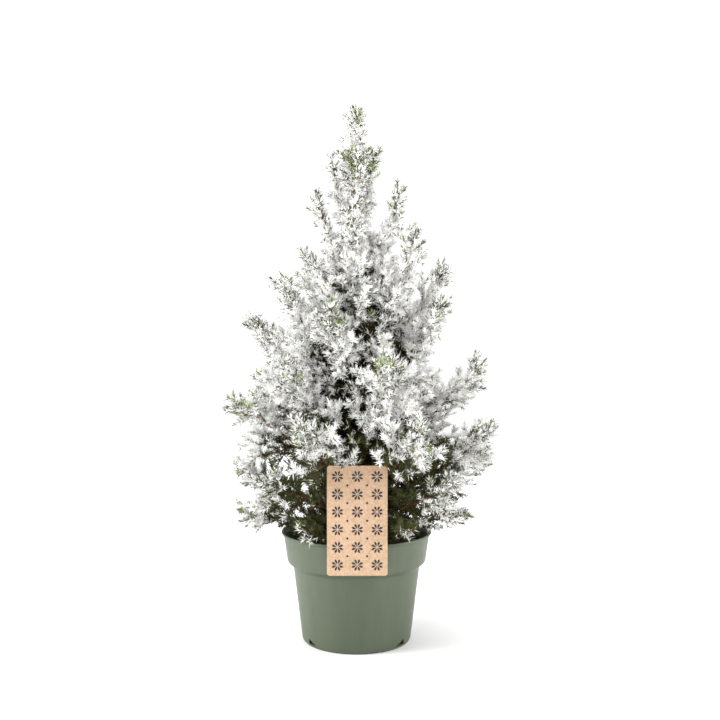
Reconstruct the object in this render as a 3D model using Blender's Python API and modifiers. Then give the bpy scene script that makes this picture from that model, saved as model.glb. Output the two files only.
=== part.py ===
"""A dwarf Alberta spruce dusted with snow, in a round plastic nursery pot with a card label on its rim.

The origin is the middle of the pot's underside. X points to the right of the front view, Y away
from it and Z up. Lengths are metres, written as millimetres times MM.
"""

import math
import random

import bmesh
import bpy
from mathutils import Matrix, Vector
from mathutils.geometry import intersect_point_line

MM = 0.001
GAP = 0.3 * MM  # clearance between neighbouring solids
GOLDEN_ANGLE = math.radians(137.5)
SEED = 19

# Pot: a turned shell with a flared collar
RIM_RADIUS = 95.0 * MM
RIM_HEIGHT = 135.8 * MM
LIP_HEIGHT = 1.6 * MM
LIP_WIDTH = 2.4 * MM
COLLAR_TOP_RADIUS = 91.9 * MM
COLLAR_TOP = 129.5 * MM
COLLAR_FOOT_RADIUS = 87.6 * MM
COLLAR_FOOT = 100.4 * MM
STEP_ROUND = 2.0 * MM
WALL_TOP_RADIUS = 79.9 * MM
WALL_TOP = 91.5 * MM
BASE_RADIUS = 68.6 * MM
BASE_EDGE = 2.4 * MM
POT_WALL = 1.8 * MM
POT_FLOOR = 2.2 * MM
TURN_STEPS = 36

# Drainage: four wedge-shaped holes low in the wall, four shallow slots under the foot
WEDGE_AZIMUTHS = (39.0, 141.0, 219.0, 321.0)
WEDGE_WIDTH = 16.0 * MM
WEDGE_HEIGHT = 6.5 * MM
WEDGE_BOTTOM = 3.2 * MM
WEDGE_TOP_SHARE = 0.8  # of the half width, where the wedge's point lies
SLOT_AZIMUTHS = (20.0, 110.0, 200.0, 290.0)
SLOT_WIDTH = 20.0 * MM
SLOT_HEIGHT = 1.4 * MM
CUT_INNER = 58.0 * MM
CUT_OUTER = 78.0 * MM
FACING_OUT = Matrix(((0, 0, 1, 0), (1, 0, 0, 0), (0, 1, 0, 0), (0, 0, 0, 1)))  # a flat outline's X to Y

# Soil: fills the pot to a little below the rim
SOIL_TOP = 122.0 * MM
SOIL_EDGE_DROP = 2.6 * MM
SOIL_FLAT_RADIUS = 24.0 * MM
SOIL_SLOPE = 9.0 * MM  # width of the steeper slope at the soil's edge

# Label: an upright card in front of the rim, with a narrow clip bent over it
CARD_WIDTH = 70.4 * MM
CARD_HEIGHT = 127.8 * MM
CARD_BOTTOM = 101.7 * MM
CARD_CENTRE_X = 1.2 * MM
CARD_THICKNESS = 0.9 * MM
CARD_CORNER = 3.2 * MM
CARD_CORNER_STEPS = 3
CLIP_WIDTH = 24.0 * MM
CLIP_DEPTH = 13.0 * MM
CLIP_THICKNESS = 1.0 * MM
CLIP_WALL_CLEARANCE = 7.3 * MM  # from the rim's outside to the clip's tongue

# Trunk: straight leader with a gentle sweep and a lobed flare at the soil
TRUNK_TOP = 612.0 * MM
TRUNK_FOOT_RADIUS = 9.6 * MM
TRUNK_TIP_RADIUS = 1.7 * MM
TRUNK_SWEEP_X = 3.5 * MM
TRUNK_SWEEP_Y = 2.5 * MM
FLARE = 5.5 * MM
FLARE_HEIGHT = 9.0 * MM
FLARE_LOBES = 5
FLARE_LOBE_DEPTH = 0.35
TRUNK_SIDES = 10
TRUNK_RINGS = 12
LEADER_TOP = 675.5 * MM
LEADER_TWIG = 44.0 * MM

# Limbs, in tiers from the soil up. Each tier gives how steeply its limbs rise (degrees), how long
# their side twigs are, whether a separate bough carries each mass, and for each limb its azimuth
# (degrees, 0 to the right, 270 to the front), its reach from the middle and its tip's height.
TIERS = (
    ("skirt", 6.0, 64.0 * MM, False, (
        (190, 150 * MM, 166 * MM),
        (238, 120 * MM, 157 * MM),
        (303, 120 * MM, 155 * MM),
        (352, 142 * MM, 160 * MM),
        (52, 136 * MM, 160 * MM),
        (120, 138 * MM, 162 * MM),
    )),
    ("low", 20.0, 76.0 * MM, True, (
        (168, 166 * MM, 217 * MM),
        (222, 152 * MM, 213 * MM),
        (316, 156 * MM, 208 * MM),
        (6, 179 * MM, 231 * MM),
        (86, 158 * MM, 216 * MM),
    )),
    ("inner", 20.0, 48.0 * MM, False, (
        (271, 74 * MM, 196 * MM),
    )),
    ("heart", 52.0, 56.0 * MM, False, (
        (270, 60 * MM, 264 * MM),
        (20, 62 * MM, 300 * MM),
        (152, 60 * MM, 300 * MM),
        (258, 54 * MM, 330 * MM),
        (92, 56 * MM, 322 * MM),
        (293, 50 * MM, 402 * MM),
        (22, 48 * MM, 410 * MM),
        (155, 46 * MM, 402 * MM),
    )),
    ("middle", 33.0, 78.0 * MM, False, (
        (194, 160 * MM, 307 * MM),
        (248, 164 * MM, 283 * MM),
        (296, 168 * MM, 279 * MM),
        (345, 178 * MM, 270 * MM),
        (60, 156 * MM, 282 * MM),
        (127, 158 * MM, 292 * MM),
    )),
    ("waist", 42.0, 74.0 * MM, False, (
        (4, 166 * MM, 352 * MM),
        (92, 136 * MM, 348 * MM),
        (159, 144 * MM, 338 * MM),
        (228, 126 * MM, 350 * MM),
        (288, 142 * MM, 354 * MM),
    )),
    ("upper", 54.0, 68.0 * MM, False, (
        (187, 134 * MM, 410 * MM),
        (252, 102 * MM, 416 * MM),
        (334, 118 * MM, 429 * MM),
        (66, 106 * MM, 422 * MM),
        (124, 104 * MM, 416 * MM),
    )),
    ("top", 62.0, 64.0 * MM, False, (
        (156, 76 * MM, 494 * MM),
        (210, 106 * MM, 458 * MM),
        (8, 114 * MM, 481 * MM),
        (318, 100 * MM, 511 * MM),
        (84, 80 * MM, 486 * MM),
    )),
    ("shoulder", 71.0, 52.0 * MM, False, (
        (178, 50 * MM, 561 * MM),
        (352, 58 * MM, 570 * MM),
        (84, 44 * MM, 548 * MM),
        (266, 46 * MM, 540 * MM),
    )),
    ("neck", 74.0, 40.0 * MM, False, (
        (192, 33 * MM, 604 * MM),
        (14, 26 * MM, 616 * MM),
        (98, 21 * MM, 602 * MM),
        (276, 21 * MM, 606 * MM),
    )),
)
CROWN_OUTLINE = (  # the crown's greatest radius at a height, which no twig passes
    (118 * MM, 112 * MM),
    (165 * MM, 160 * MM),
    (215 * MM, 176 * MM),
    (270 * MM, 180 * MM),
    (355 * MM, 168 * MM),
    (430 * MM, 128 * MM),
    (482 * MM, 118 * MM),
    (512 * MM, 94 * MM),
    (570 * MM, 66 * MM),
    (606 * MM, 38 * MM),
    (640 * MM, 25 * MM),
    (664 * MM, 16 * MM),
    (LEADER_TOP, 8 * MM),
)
LIMB_SAG = 0.07  # of the limb's length, at its middle
CLEAR_STEP = 0.0005  # of the limb's length, in the search for where it clears the trunk
BOUGH_SHARE = 0.42  # of the limb that is a bare bough
BOUGH_RADIUS = 3.6 * MM
STEM_RADIUS = 2.1 * MM
STEM_TIP_RADIUS = 0.7 * MM
STEM_POINTS = 5
BOUGH_POINTS = 4

# Twigs: each is a spray of needles larger than life, a slim core that rings of needles stand out
# of, leaning to its tip, and most bear a shorter side spray
TWIG_SPACING = 37.6 * MM
LEAST_TWIGS = 3
TWIG_FIRST = 0.08
TWIG_LAST = 0.80
TWIG_ROLL_SPREAD = 0.25  # radians either way from a golden angle after the last twig
TWIG_LENGTH_SPREAD = 0.1
TWIG_ANGLE_FOOT = math.radians(58.0)
TWIG_ANGLE_TIP = math.radians(38.0)
UPRIGHT_NARROWING = 0.4  # how much closer twigs lie to an upright stem
TWIG_SHORTENING = 0.36
TWIG_LENGTH_TRIES = (1.0, 0.82, 0.66, 0.5)
SIDE_SPRAY_FROM = 0.26  # of the twig's length
SIDE_SPRAY_SHARE = 0.66
SIDE_SPRAY_ANGLE = math.radians(44.0)
STEM_SPRAY_START = 0.50
END_SPRAY_RINGS = 3
TWIG_SPRAY_RINGS = 2
SIDE_SPRAY_RINGS = 1
RING_NEEDLES = 4
RING_FIRST = 0.10  # of the spray's length, where the needles of the first ring start
RING_LAST = 0.80
NEEDLE_REACH = 0.30  # how far forward a needle leans, as a share of the spray's length
NEEDLE_TAPER = 0.60  # how much shorter needles would be at the spray's end
SPRAY_RADIUS = 14.0 * MM
SPRAY_SLIMNESS = 0.26  # the greatest share of its length that a spray's radius is
SPRAY_CORE = 0.44  # the core's radius as a share of the spray's
SPRAY_WIDTH_TRIES = (1.0, 0.8, 0.6)
LEAST_SPRAY_RADIUS = 4.0 * MM
SURFACE_STEPS = 4  # places tested along each line of a spray's surface
SPACE_MARGIN = 0.8 * MM
RIM_KEEP_OUT = 12.0 * MM  # how far inside the rim twigs may hang into the pot
PATH_STEPS = 6  # straight pieces that stand for a limb's curve when room is measured
FLAT_ANGLE = math.radians(0.5)  # faces that meet flatter than this become one

COLOURS = {
    "pot": ((0.16, 0.21, 0.14), 0.45),
    "soil": ((0.02, 0.013, 0.009), 0.95),
    "label": ((0.72, 0.50, 0.33), 0.85),
    "bark": ((0.20, 0.11, 0.06), 0.9),
    "foliage": ((0.80, 0.81, 0.80), 0.9),
}


def clear_scene():
    for thing in list(bpy.data.objects):
        bpy.data.objects.remove(thing, do_unlink=True)


def new_collection(name):
    collection = bpy.data.collections.new(name)
    bpy.context.scene.collection.children.link(collection)
    return collection


def new_material(name):
    colour, roughness = COLOURS[name]
    material = bpy.data.materials.new(name)
    material.use_nodes = True
    shader = material.node_tree.nodes["Principled BSDF"]
    shader.inputs["Base Color"].default_value = (*colour, 1.0)
    shader.inputs["Roughness"].default_value = roughness
    shader.inputs["Metallic"].default_value = 0.0
    return material


def new_object(name, mesh, collection, material=None):
    thing = bpy.data.objects.new(name, mesh)
    collection.objects.link(thing)
    if material:
        thing.data.materials.append(material)
    return thing


def bmesh_object(name, bm, collection, material=None):
    mesh = bpy.data.meshes.new(name)
    bm.to_mesh(mesh)
    bm.free()
    return new_object(name, mesh, collection, material)


def shade(thing, angle_degrees=35.0):
    thing.data.shade_smooth()
    thing.data.set_sharp_from_angle(angle=math.radians(angle_degrees))


def curve_as_mesh(thing, collection):
    """Makes a curve object a mesh with its caps welded, and removes the curve."""
    graph = bpy.context.evaluated_depsgraph_get()
    mesh = bpy.data.meshes.new_from_object(thing.evaluated_get(graph))
    bm = bmesh.new()
    bm.from_mesh(mesh)
    bmesh.ops.remove_doubles(bm, verts=bm.verts, dist=1e-6)
    bm.to_mesh(mesh)
    bm.free()
    made = new_object(thing.name + "_mesh", mesh, collection)
    made.matrix_world = thing.matrix_world.copy()
    bpy.data.objects.remove(thing, do_unlink=True)
    return made


def turned(name, profile, collection, material):
    """A solid turned about Z, from (radius, height) pairs that run down the outer side."""
    bm = bmesh.new()
    points = [bm.verts.new((radius, 0.0, height)) for radius, height in profile]
    for first, second in zip(points, points[1:]):
        bm.edges.new((first, second))
    thing = bmesh_object(name, bm, collection, material)
    screw = thing.modifiers.new("turn", "SCREW")
    screw.axis = "Z"
    screw.angle = math.tau
    screw.steps = TURN_STEPS
    screw.render_steps = TURN_STEPS
    screw.use_merge_vertices = True
    screw.merge_threshold = 0.0001
    screw.use_smooth_shade = True
    return thing


def outer_profile():
    """The pot's outside from the rim's top to the edge of the underside."""
    return [
        (RIM_RADIUS, RIM_HEIGHT),
        (RIM_RADIUS, RIM_HEIGHT - LIP_HEIGHT),
        (COLLAR_TOP_RADIUS + 0.5 * MM, COLLAR_TOP + 2.0 * MM),
        (COLLAR_TOP_RADIUS, COLLAR_TOP),
        (COLLAR_FOOT_RADIUS, COLLAR_FOOT),
        (COLLAR_FOOT_RADIUS - STEP_ROUND / 2, COLLAR_FOOT - STEP_ROUND),
        (WALL_TOP_RADIUS + STEP_ROUND / 2, WALL_TOP + STEP_ROUND),
        (WALL_TOP_RADIUS, WALL_TOP),
        (BASE_RADIUS, BASE_EDGE),
        (BASE_RADIUS - BASE_EDGE / 2, 0.0),
    ]


def inner_profile(clearance=0.0):
    """The pot's inside from the floor to just under the rim, drawn in by a clearance."""
    inset = POT_WALL + clearance
    return [
        (BASE_RADIUS - inset - 1.2 * MM, POT_FLOOR + clearance),
        (BASE_RADIUS - inset + 0.2 * MM, POT_FLOOR + clearance + 2.5 * MM),
        (WALL_TOP_RADIUS - inset, WALL_TOP - 0.4 * MM),
        (COLLAR_FOOT_RADIUS - inset, COLLAR_FOOT + STEP_ROUND / 2),
        (COLLAR_TOP_RADIUS - inset, COLLAR_TOP),
    ]


def inner_radius(height, clearance=0.0):
    """Radius of the pot's inside at a height, drawn in by a clearance."""
    line = inner_profile(clearance)
    for (low_radius, low), (high_radius, high) in zip(line, line[1:]):
        if height <= high:
            share = (height - low) / (high - low)
            return low_radius + share * (high_radius - low_radius)
    return line[-1][0]


def ring_matrix(azimuth_degrees):
    return Matrix.Rotation(math.radians(azimuth_degrees), 4, "Z")


def flat_plate(name, outline, thickness, matrix, collection):
    """A plate from a 2D outline, centred on the plane of the outline."""
    curve = bpy.data.curves.new(name, "CURVE")
    curve.dimensions = "2D"
    curve.fill_mode = "BOTH"
    curve.extrude = thickness / 2
    spline = curve.splines.new("POLY")
    spline.points.add(len(outline) - 1)
    for point, (x, y) in zip(spline.points, outline):
        point.co = (x, y, 0.0, 1.0)
    spline.use_cyclic_u = True
    thing = bpy.data.objects.new(name, curve)
    collection.objects.link(thing)
    thing.matrix_world = matrix
    bpy.context.view_layer.update()
    return curve_as_mesh(thing, collection)


def wedge_cutter(name, azimuth, collection):
    """A prism along the radius at an azimuth, tall on the side that faces away from the front."""
    toward_right = 1.0 if azimuth > 180.0 else -1.0
    tall_side = toward_right if math.cos(math.radians(azimuth)) > 0 else -toward_right
    half = tall_side * WEDGE_WIDTH / 2
    outline = [
        (-half, WEDGE_BOTTOM),
        (half, WEDGE_BOTTOM),
        (half * WEDGE_TOP_SHARE, WEDGE_BOTTOM + WEDGE_HEIGHT),
    ]
    outward = Matrix.Translation(((CUT_OUTER + CUT_INNER) / 2, 0, 0))
    place = ring_matrix(azimuth) @ outward @ FACING_OUT
    return flat_plate(name, outline, CUT_OUTER - CUT_INNER, place, collection)


def slot_cutter(name, azimuth, collection):
    """A low block across the foot's edge, open at the underside."""
    bm = bmesh.new()
    size = Matrix.Diagonal((CUT_OUTER - CUT_INNER, SLOT_WIDTH, 2 * SLOT_HEIGHT, 1.0))
    outward = Matrix.Translation(((CUT_OUTER + CUT_INNER) / 2, 0, 0))
    bmesh.ops.create_cube(bm, size=1.0, matrix=ring_matrix(azimuth) @ outward @ size)
    return bmesh_object(name, bm, collection)


def make_pot(parts, cutters, material):
    outside = outer_profile()
    inside = inner_profile()
    rim_inside = [
        (RIM_RADIUS - LIP_WIDTH, RIM_HEIGHT - LIP_HEIGHT),
        (RIM_RADIUS - LIP_WIDTH, RIM_HEIGHT),
    ]
    underside = [(0.0, 0.0), (0.0, POT_FLOOR)]
    profile = outside + underside + inside + rim_inside + outside[:1]
    pot = turned("pot", profile, parts, material)
    drains = [wedge_cutter(f"wedge_{k}", azimuth, cutters) for k, azimuth in enumerate(WEDGE_AZIMUTHS)]
    drains += [slot_cutter(f"slot_{k}", azimuth, cutters) for k, azimuth in enumerate(SLOT_AZIMUTHS)]
    for drain in drains:
        drain.hide_render = True
        drain.display_type = "WIRE"
        cut = pot.modifiers.new(drain.name, "BOOLEAN")
        cut.operation = "DIFFERENCE"
        cut.object = drain
    return pot


def make_soil(parts, material):
    edge_height = SOIL_TOP - SOIL_EDGE_DROP
    wall = [point for point in inner_profile(GAP) if point[1] < edge_height]
    profile = [
        (0.0, SOIL_TOP),
        (SOIL_FLAT_RADIUS, SOIL_TOP),
        (inner_radius(edge_height, GAP) - SOIL_SLOPE, SOIL_TOP - 0.6 * SOIL_EDGE_DROP),
        (inner_radius(edge_height, GAP), edge_height),
    ]
    profile += list(reversed(wall))
    profile.append((0.0, POT_FLOOR + GAP))
    return turned("soil", profile, parts, material)


def rounded_rectangle(width, height, corner, steps):
    """Outline of a rectangle with round corners, standing on the line y = 0."""
    outline = []
    centres = (
        (width / 2 - corner, corner, -90.0),
        (width / 2 - corner, height - corner, 0.0),
        (corner - width / 2, height - corner, 90.0),
        (corner - width / 2, corner, 180.0),
    )
    for x, y, start in centres:
        for k in range(steps + 1):
            turn = math.radians(start + 90.0 * k / steps)
            outline.append((x + corner * math.cos(turn), y + corner * math.sin(turn)))
    return outline


def card_front():
    """Y of the card's front face."""
    return -(RIM_RADIUS + GAP + CARD_THICKNESS)


def make_label(parts, cutters, material):
    """The card, with a clip that bends over the rim and down inside it."""
    upright = Matrix.Rotation(math.radians(90.0), 4, "X")
    middle = card_front() + CARD_THICKNESS / 2
    place = Matrix.Translation((CARD_CENTRE_X, middle, CARD_BOTTOM)) @ upright
    outline = rounded_rectangle(CARD_WIDTH, CARD_HEIGHT, CARD_CORNER, CARD_CORNER_STEPS)
    card = flat_plate("card", outline, CARD_THICKNESS, place, parts)
    tongue_outer = RIM_RADIUS - CLIP_WALL_CLEARANCE
    tongue_inner = tongue_outer - CLIP_THICKNESS
    under = RIM_HEIGHT + GAP
    hook = [
        (-RIM_RADIUS - GAP - CARD_THICKNESS / 2, under),
        (-tongue_outer, under),
        (-tongue_outer, under - CLIP_DEPTH),
        (-tongue_inner, under - CLIP_DEPTH),
        (-tongue_inner, under + CLIP_THICKNESS),
        (-RIM_RADIUS - GAP - CARD_THICKNESS / 2, under + CLIP_THICKNESS),
    ]
    across = Matrix.Translation((CARD_CENTRE_X, 0, 0)) @ FACING_OUT
    clip = flat_plate("clip", hook, CLIP_WIDTH, across, cutters)
    joint = card.modifiers.new("clip", "BOOLEAN")
    joint.operation = "UNION"
    joint.object = clip
    clip.hide_render = True
    clip.display_type = "WIRE"
    card.name = "label"
    card.data.materials.append(material)
    return card


def trunk_axis(height):
    """The trunk's middle at a height: a gentle sweep that ends over the pot's middle."""
    share = (height - SOIL_TOP) / (TRUNK_TOP - SOIL_TOP)
    x = TRUNK_SWEEP_X * math.sin(math.tau * share) * (1.0 - 0.5 * share)
    y = TRUNK_SWEEP_Y * math.sin(math.pi * share)
    return Vector((x, y, height))


def trunk_radius(height):
    """The trunk's radius at a height, without the lobes of its flare."""
    share = min(max((height - SOIL_TOP) / (TRUNK_TOP - SOIL_TOP), 0.0), 1.0)
    taper = TRUNK_TIP_RADIUS + (TRUNK_FOOT_RADIUS - TRUNK_TIP_RADIUS) * (1.0 - share) ** 0.9
    return taper + FLARE * math.exp(-max(height - SOIL_TOP, 0.0) / FLARE_HEIGHT)


def make_trunk(parts, material):
    """A loft of rings: lobed sections at the flare, round ones above."""
    bm = bmesh.new()
    rings = []
    bottom = SOIL_TOP + GAP
    for k in range(TRUNK_RINGS):
        share = (k / (TRUNK_RINGS - 1)) ** 1.7
        height = bottom + (TRUNK_TOP - bottom) * share
        centre = trunk_axis(height)
        radius = trunk_radius(height)
        flare_share = math.exp(-(height - bottom) / FLARE_HEIGHT)
        ring = []
        for side in range(TRUNK_SIDES):
            turn = math.tau * side / TRUNK_SIDES
            lobe = 1.0 - FLARE_LOBE_DEPTH * flare_share * (0.5 - 0.5 * math.cos(FLARE_LOBES * turn))
            offset = Vector((math.cos(turn), math.sin(turn), 0.0)) * radius * lobe
            ring.append(bm.verts.new(centre + offset))
        rings.append(ring)
    for lower, upper in zip(rings, rings[1:]):
        for side in range(TRUNK_SIDES):
            after = (side + 1) % TRUNK_SIDES
            bm.faces.new((lower[side], lower[after], upper[after], upper[side]))
    bm.faces.new(list(reversed(rings[0])))
    bm.faces.new(rings[-1])
    trunk = bmesh_object("trunk", bm, parts, material)
    shade(trunk)
    return trunk


class Limb:
    """One limb's curve from the trunk to its tip, with the bough's and the mass's shares of it."""

    def __init__(self, name, rise, twig_length, has_bough, azimuth, reach, top):
        self.name = name
        self.twig_length = twig_length
        self.has_bough = has_bough
        turn = math.radians(azimuth)
        self.tip = Vector((reach * math.cos(turn), reach * math.sin(turn), top))
        foot_height = top - reach * math.tan(math.radians(rise))
        self.foot = trunk_axis(foot_height)
        chord = self.tip - self.foot
        self.length = chord.length
        self.bend = (self.foot + self.tip) / 2 - Vector((0, 0, LIMB_SAG * self.length))
        self.stem_radius = STEM_RADIUS
        self.leaves_trunk = self.first_clear_share(BOUGH_RADIUS if has_bough else STEM_RADIUS)
        self.stem_start = BOUGH_SHARE + GAP / self.length if has_bough else self.leaves_trunk

    def point(self, share):
        """A point of the limb's curve, 0 inside the trunk and 1 at the tip."""
        rest = 1.0 - share
        return self.foot * rest * rest + self.bend * 2 * rest * share + self.tip * share * share

    def heading(self, share):
        rest = 1.0 - share
        slope = (self.bend - self.foot) * 2 * rest + (self.tip - self.bend) * 2 * share
        return slope.normalized()

    def first_clear_share(self, radius):
        """The share at which the flat end of a limb of this radius just clears the trunk."""
        share = 0.0
        while share < 0.5:
            point = self.point(share)
            heading = self.heading(share)
            aside = (point - trunk_axis(point.z)).to_2d().length
            needed = trunk_radius(point.z) + GAP + radius * abs(heading.z)
            if aside >= needed:
                return share
            share += CLEAR_STEP
        return share

    def stem_share(self, along):
        """The curve's share at a fraction along the mass's own stem."""
        return self.stem_start + (1.0 - self.stem_start) * along

    def stem_point(self, along):
        return self.point(self.stem_share(along))

    def stem_heading(self, along):
        return self.heading(self.stem_share(along))

    def stem_length(self):
        return self.length * (1.0 - self.stem_start)


class Leader(Limb):
    """The last upright shoot, which stands on the trunk's tip."""

    def __init__(self, twig_length):
        self.name = "leader"
        self.twig_length = twig_length
        self.has_bough = False
        self.foot = trunk_axis(TRUNK_TOP) + Vector((0, 0, GAP))
        self.tip = Vector((-1.0 * MM, 0.0, LEADER_TOP))
        self.length = (self.tip - self.foot).length
        self.bend = (self.foot + self.tip) / 2
        self.stem_radius = TRUNK_TIP_RADIUS
        self.stem_start = 0.0


def all_limbs():
    limbs = []
    for tier, rise, twig_length, has_bough, places in TIERS:
        for k, (azimuth, reach, top) in enumerate(places, 1):
            limbs.append(Limb(f"{tier}_{k}", rise, twig_length, has_bough, azimuth, reach, top))
    limbs.append(Leader(LEADER_TWIG))
    return limbs


def nearest_on_path(point, path):
    """The point of a line through several points that lies nearest to a point."""
    best = path[0]
    for first, second in zip(path, path[1:]):
        nearest, share = intersect_point_line(point, first, second)
        if share < 0.0:
            nearest = first
        elif share > 1.0:
            nearest = second
        if (point - nearest).length < (point - best).length:
            best = nearest
    return best


class Space:
    """The room of each mass: the points that lie nearer to its own stem than to any other."""

    def __init__(self, limbs):
        samples = [k / PATH_STEPS for k in range(PATH_STEPS + 1)]
        self.stems = {limb.name: [limb.stem_point(s) for s in samples] for limb in limbs}
        self.boughs = [
            [limb.point(BOUGH_SHARE * s) for s in samples] for limb in limbs if limb.has_bough
        ]

    def clear_of_limbs(self, point, radius):
        aside = (point - trunk_axis(point.z)).to_2d().length
        if point.z < TRUNK_TOP + radius and aside < trunk_radius(point.z) + radius + SPACE_MARGIN:
            return False
        needed = BOUGH_RADIUS + radius + SPACE_MARGIN
        return all((point - nearest_on_path(point, bough)).length >= needed for bough in self.boughs)

    def clear_of_pot(self, point, radius):
        margin = radius + SPACE_MARGIN
        aside = point.to_2d().length
        if aside < RIM_RADIUS + margin and point.z < RIM_HEIGHT + margin:
            return aside < RIM_RADIUS - RIM_KEEP_OUT and point.z > SOIL_TOP + margin
        return True

    def clear_of_label(self, point, radius):
        margin = radius + SPACE_MARGIN
        beside = abs(point.x - CARD_CENTRE_X) > CARD_WIDTH / 2 + margin
        above = point.z > CARD_BOTTOM + CARD_HEIGHT + margin
        behind = point.y > card_front() + CARD_THICKNESS + margin
        if behind and point.y < -RIM_RADIUS + CLIP_DEPTH + margin:
            near_clip = abs(point.x - CARD_CENTRE_X) < CLIP_WIDTH / 2 + margin
            return not near_clip or point.z > RIM_HEIGHT + CLIP_THICKNESS + GAP + margin
        return beside or above or behind

    def holds(self, name, point, radius):
        """Whether a ball lies in the room of a mass, clear of the limbs, the pot and the label."""
        if point.to_2d().length > crown_radius(point.z):
            return False
        own = nearest_on_path(point, self.stems[name])
        for other, stem in self.stems.items():
            if other == name:
                continue
            rival = nearest_on_path(point, stem)
            to_border = (point - rival).length_squared - (point - own).length_squared
            if to_border < 2.0 * (rival - own).length * (radius + SPACE_MARGIN):
                return False
        return (
            self.clear_of_limbs(point, radius)
            and self.clear_of_pot(point, radius)
            and self.clear_of_label(point, radius)
        )

    def holds_spray(self, name, spray):
        """Whether a spray's needles and core lie in the room of a mass, and its surface clear of all."""
        if not self.holds(name, spray.end, 0.0):
            return False
        for k in range(spray.rings):
            if not all(self.holds(name, point, 0.0) for point in spray.needle_points(k)):
                return False
            if k and not self.holds(name, spray.middle(spray.core_share(k)), spray.core_radius(k)):
                return False
        return all(
            self.clear_of_pot(point, 0.0) and self.clear_of_limbs(point, 0.0)
            for point in spray.surface_points()
        )


class Spray:
    """A slim core from start to end with rings of needles that lean towards the end."""

    def __init__(self, start, end, radius, rings):
        self.start = start
        self.end = end
        self.radius = radius
        self.rings = rings
        heading = (end - start).normalized()
        self.across = side_direction(heading, 0.0)
        self.above = heading.cross(self.across)

    def middle(self, share):
        return self.start.lerp(self.end, share)

    def core_share(self, ring):
        """Where along the spray a ring's needles start."""
        return RING_FIRST + (RING_LAST - RING_FIRST) * ring / self.rings

    def core_radius(self, ring):
        return self.needle_radius(ring) * SPRAY_CORE

    def needle_radius(self, ring):
        return self.radius * (1.0 - NEEDLE_TAPER * ring / self.rings)

    def around(self, share, radius, turn):
        """Points evenly round the spray's middle, from a start angle in steps of one needle."""
        angles = [math.tau * (side + turn) / RING_NEEDLES for side in range(RING_NEEDLES)]
        return [
            self.middle(share) + (self.across * math.cos(a) + self.above * math.sin(a)) * radius
            for a in angles
        ]

    def core_points(self, ring):
        return self.around(self.core_share(ring), self.core_radius(ring), 0.5)

    def needle_points(self, ring):
        return self.around(self.core_share(ring) + NEEDLE_REACH, self.needle_radius(ring), 0.0)

    def surface_points(self):
        """Points along the lines that run from the start over the needles to the end."""
        needles = [self.needle_points(k) for k in range(self.rings)]
        points = []
        for side in range(RING_NEEDLES):
            line = [self.start] + [ring[side] for ring in needles] + [self.end]
            for first, second in zip(line, line[1:]):
                points += [first.lerp(second, (k + 0.5) / SURFACE_STEPS) for k in range(SURFACE_STEPS)]
        return points

    def add_to(self, collection, name):
        bm = bmesh.new()
        start = bm.verts.new(self.start)
        end = bm.verts.new(self.end)
        needles = [[bm.verts.new(point) for point in self.needle_points(k)] for k in range(self.rings)]
        cores = [[bm.verts.new(point) for point in self.core_points(k)] for k in range(1, self.rings)]
        for side in range(RING_NEEDLES):
            after = (side + 1) % RING_NEEDLES
            bm.faces.new((start, needles[0][after], needles[0][side]))
            bm.faces.new((end, needles[-1][side], needles[-1][after]))
            for below, core, above in zip(needles, cores, needles[1:]):
                bm.faces.new((below[side], below[after], core[side]))
                bm.faces.new((below[after], core[after], core[side]))
                bm.faces.new((core[side], core[after], above[after]))
                bm.faces.new((core[side], above[after], above[side]))
        bmesh.ops.recalc_face_normals(bm, faces=bm.faces)
        return bmesh_object(name, bm, collection)


def side_direction(heading, roll):
    """A direction square to a heading, turned about it by a roll angle from straight up."""
    upward = Vector((0, 0, 1)) if abs(heading.z) < 0.98 else Vector((0, 1, 0))
    across = heading.cross(upward).normalized()
    above = across.cross(heading).normalized()
    return above * math.cos(roll) + across * math.sin(roll)


def turned_aside(heading, angle, roll):
    """A heading turned by an angle towards the side that a roll picks."""
    return heading * math.cos(angle) + side_direction(heading, roll) * math.sin(angle)


def fitting_spray(limb, space, start, end, rings):
    """The widest of a few sprays from start to end that stays in the limb's own room, if any."""
    full = min(SPRAY_RADIUS, SPRAY_SLIMNESS * (end - start).length)
    for share in SPRAY_WIDTH_TRIES:
        spray = Spray(start, end, full * share, rings)
        if space.holds_spray(limb.name, spray):
            return spray
    return None


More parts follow.
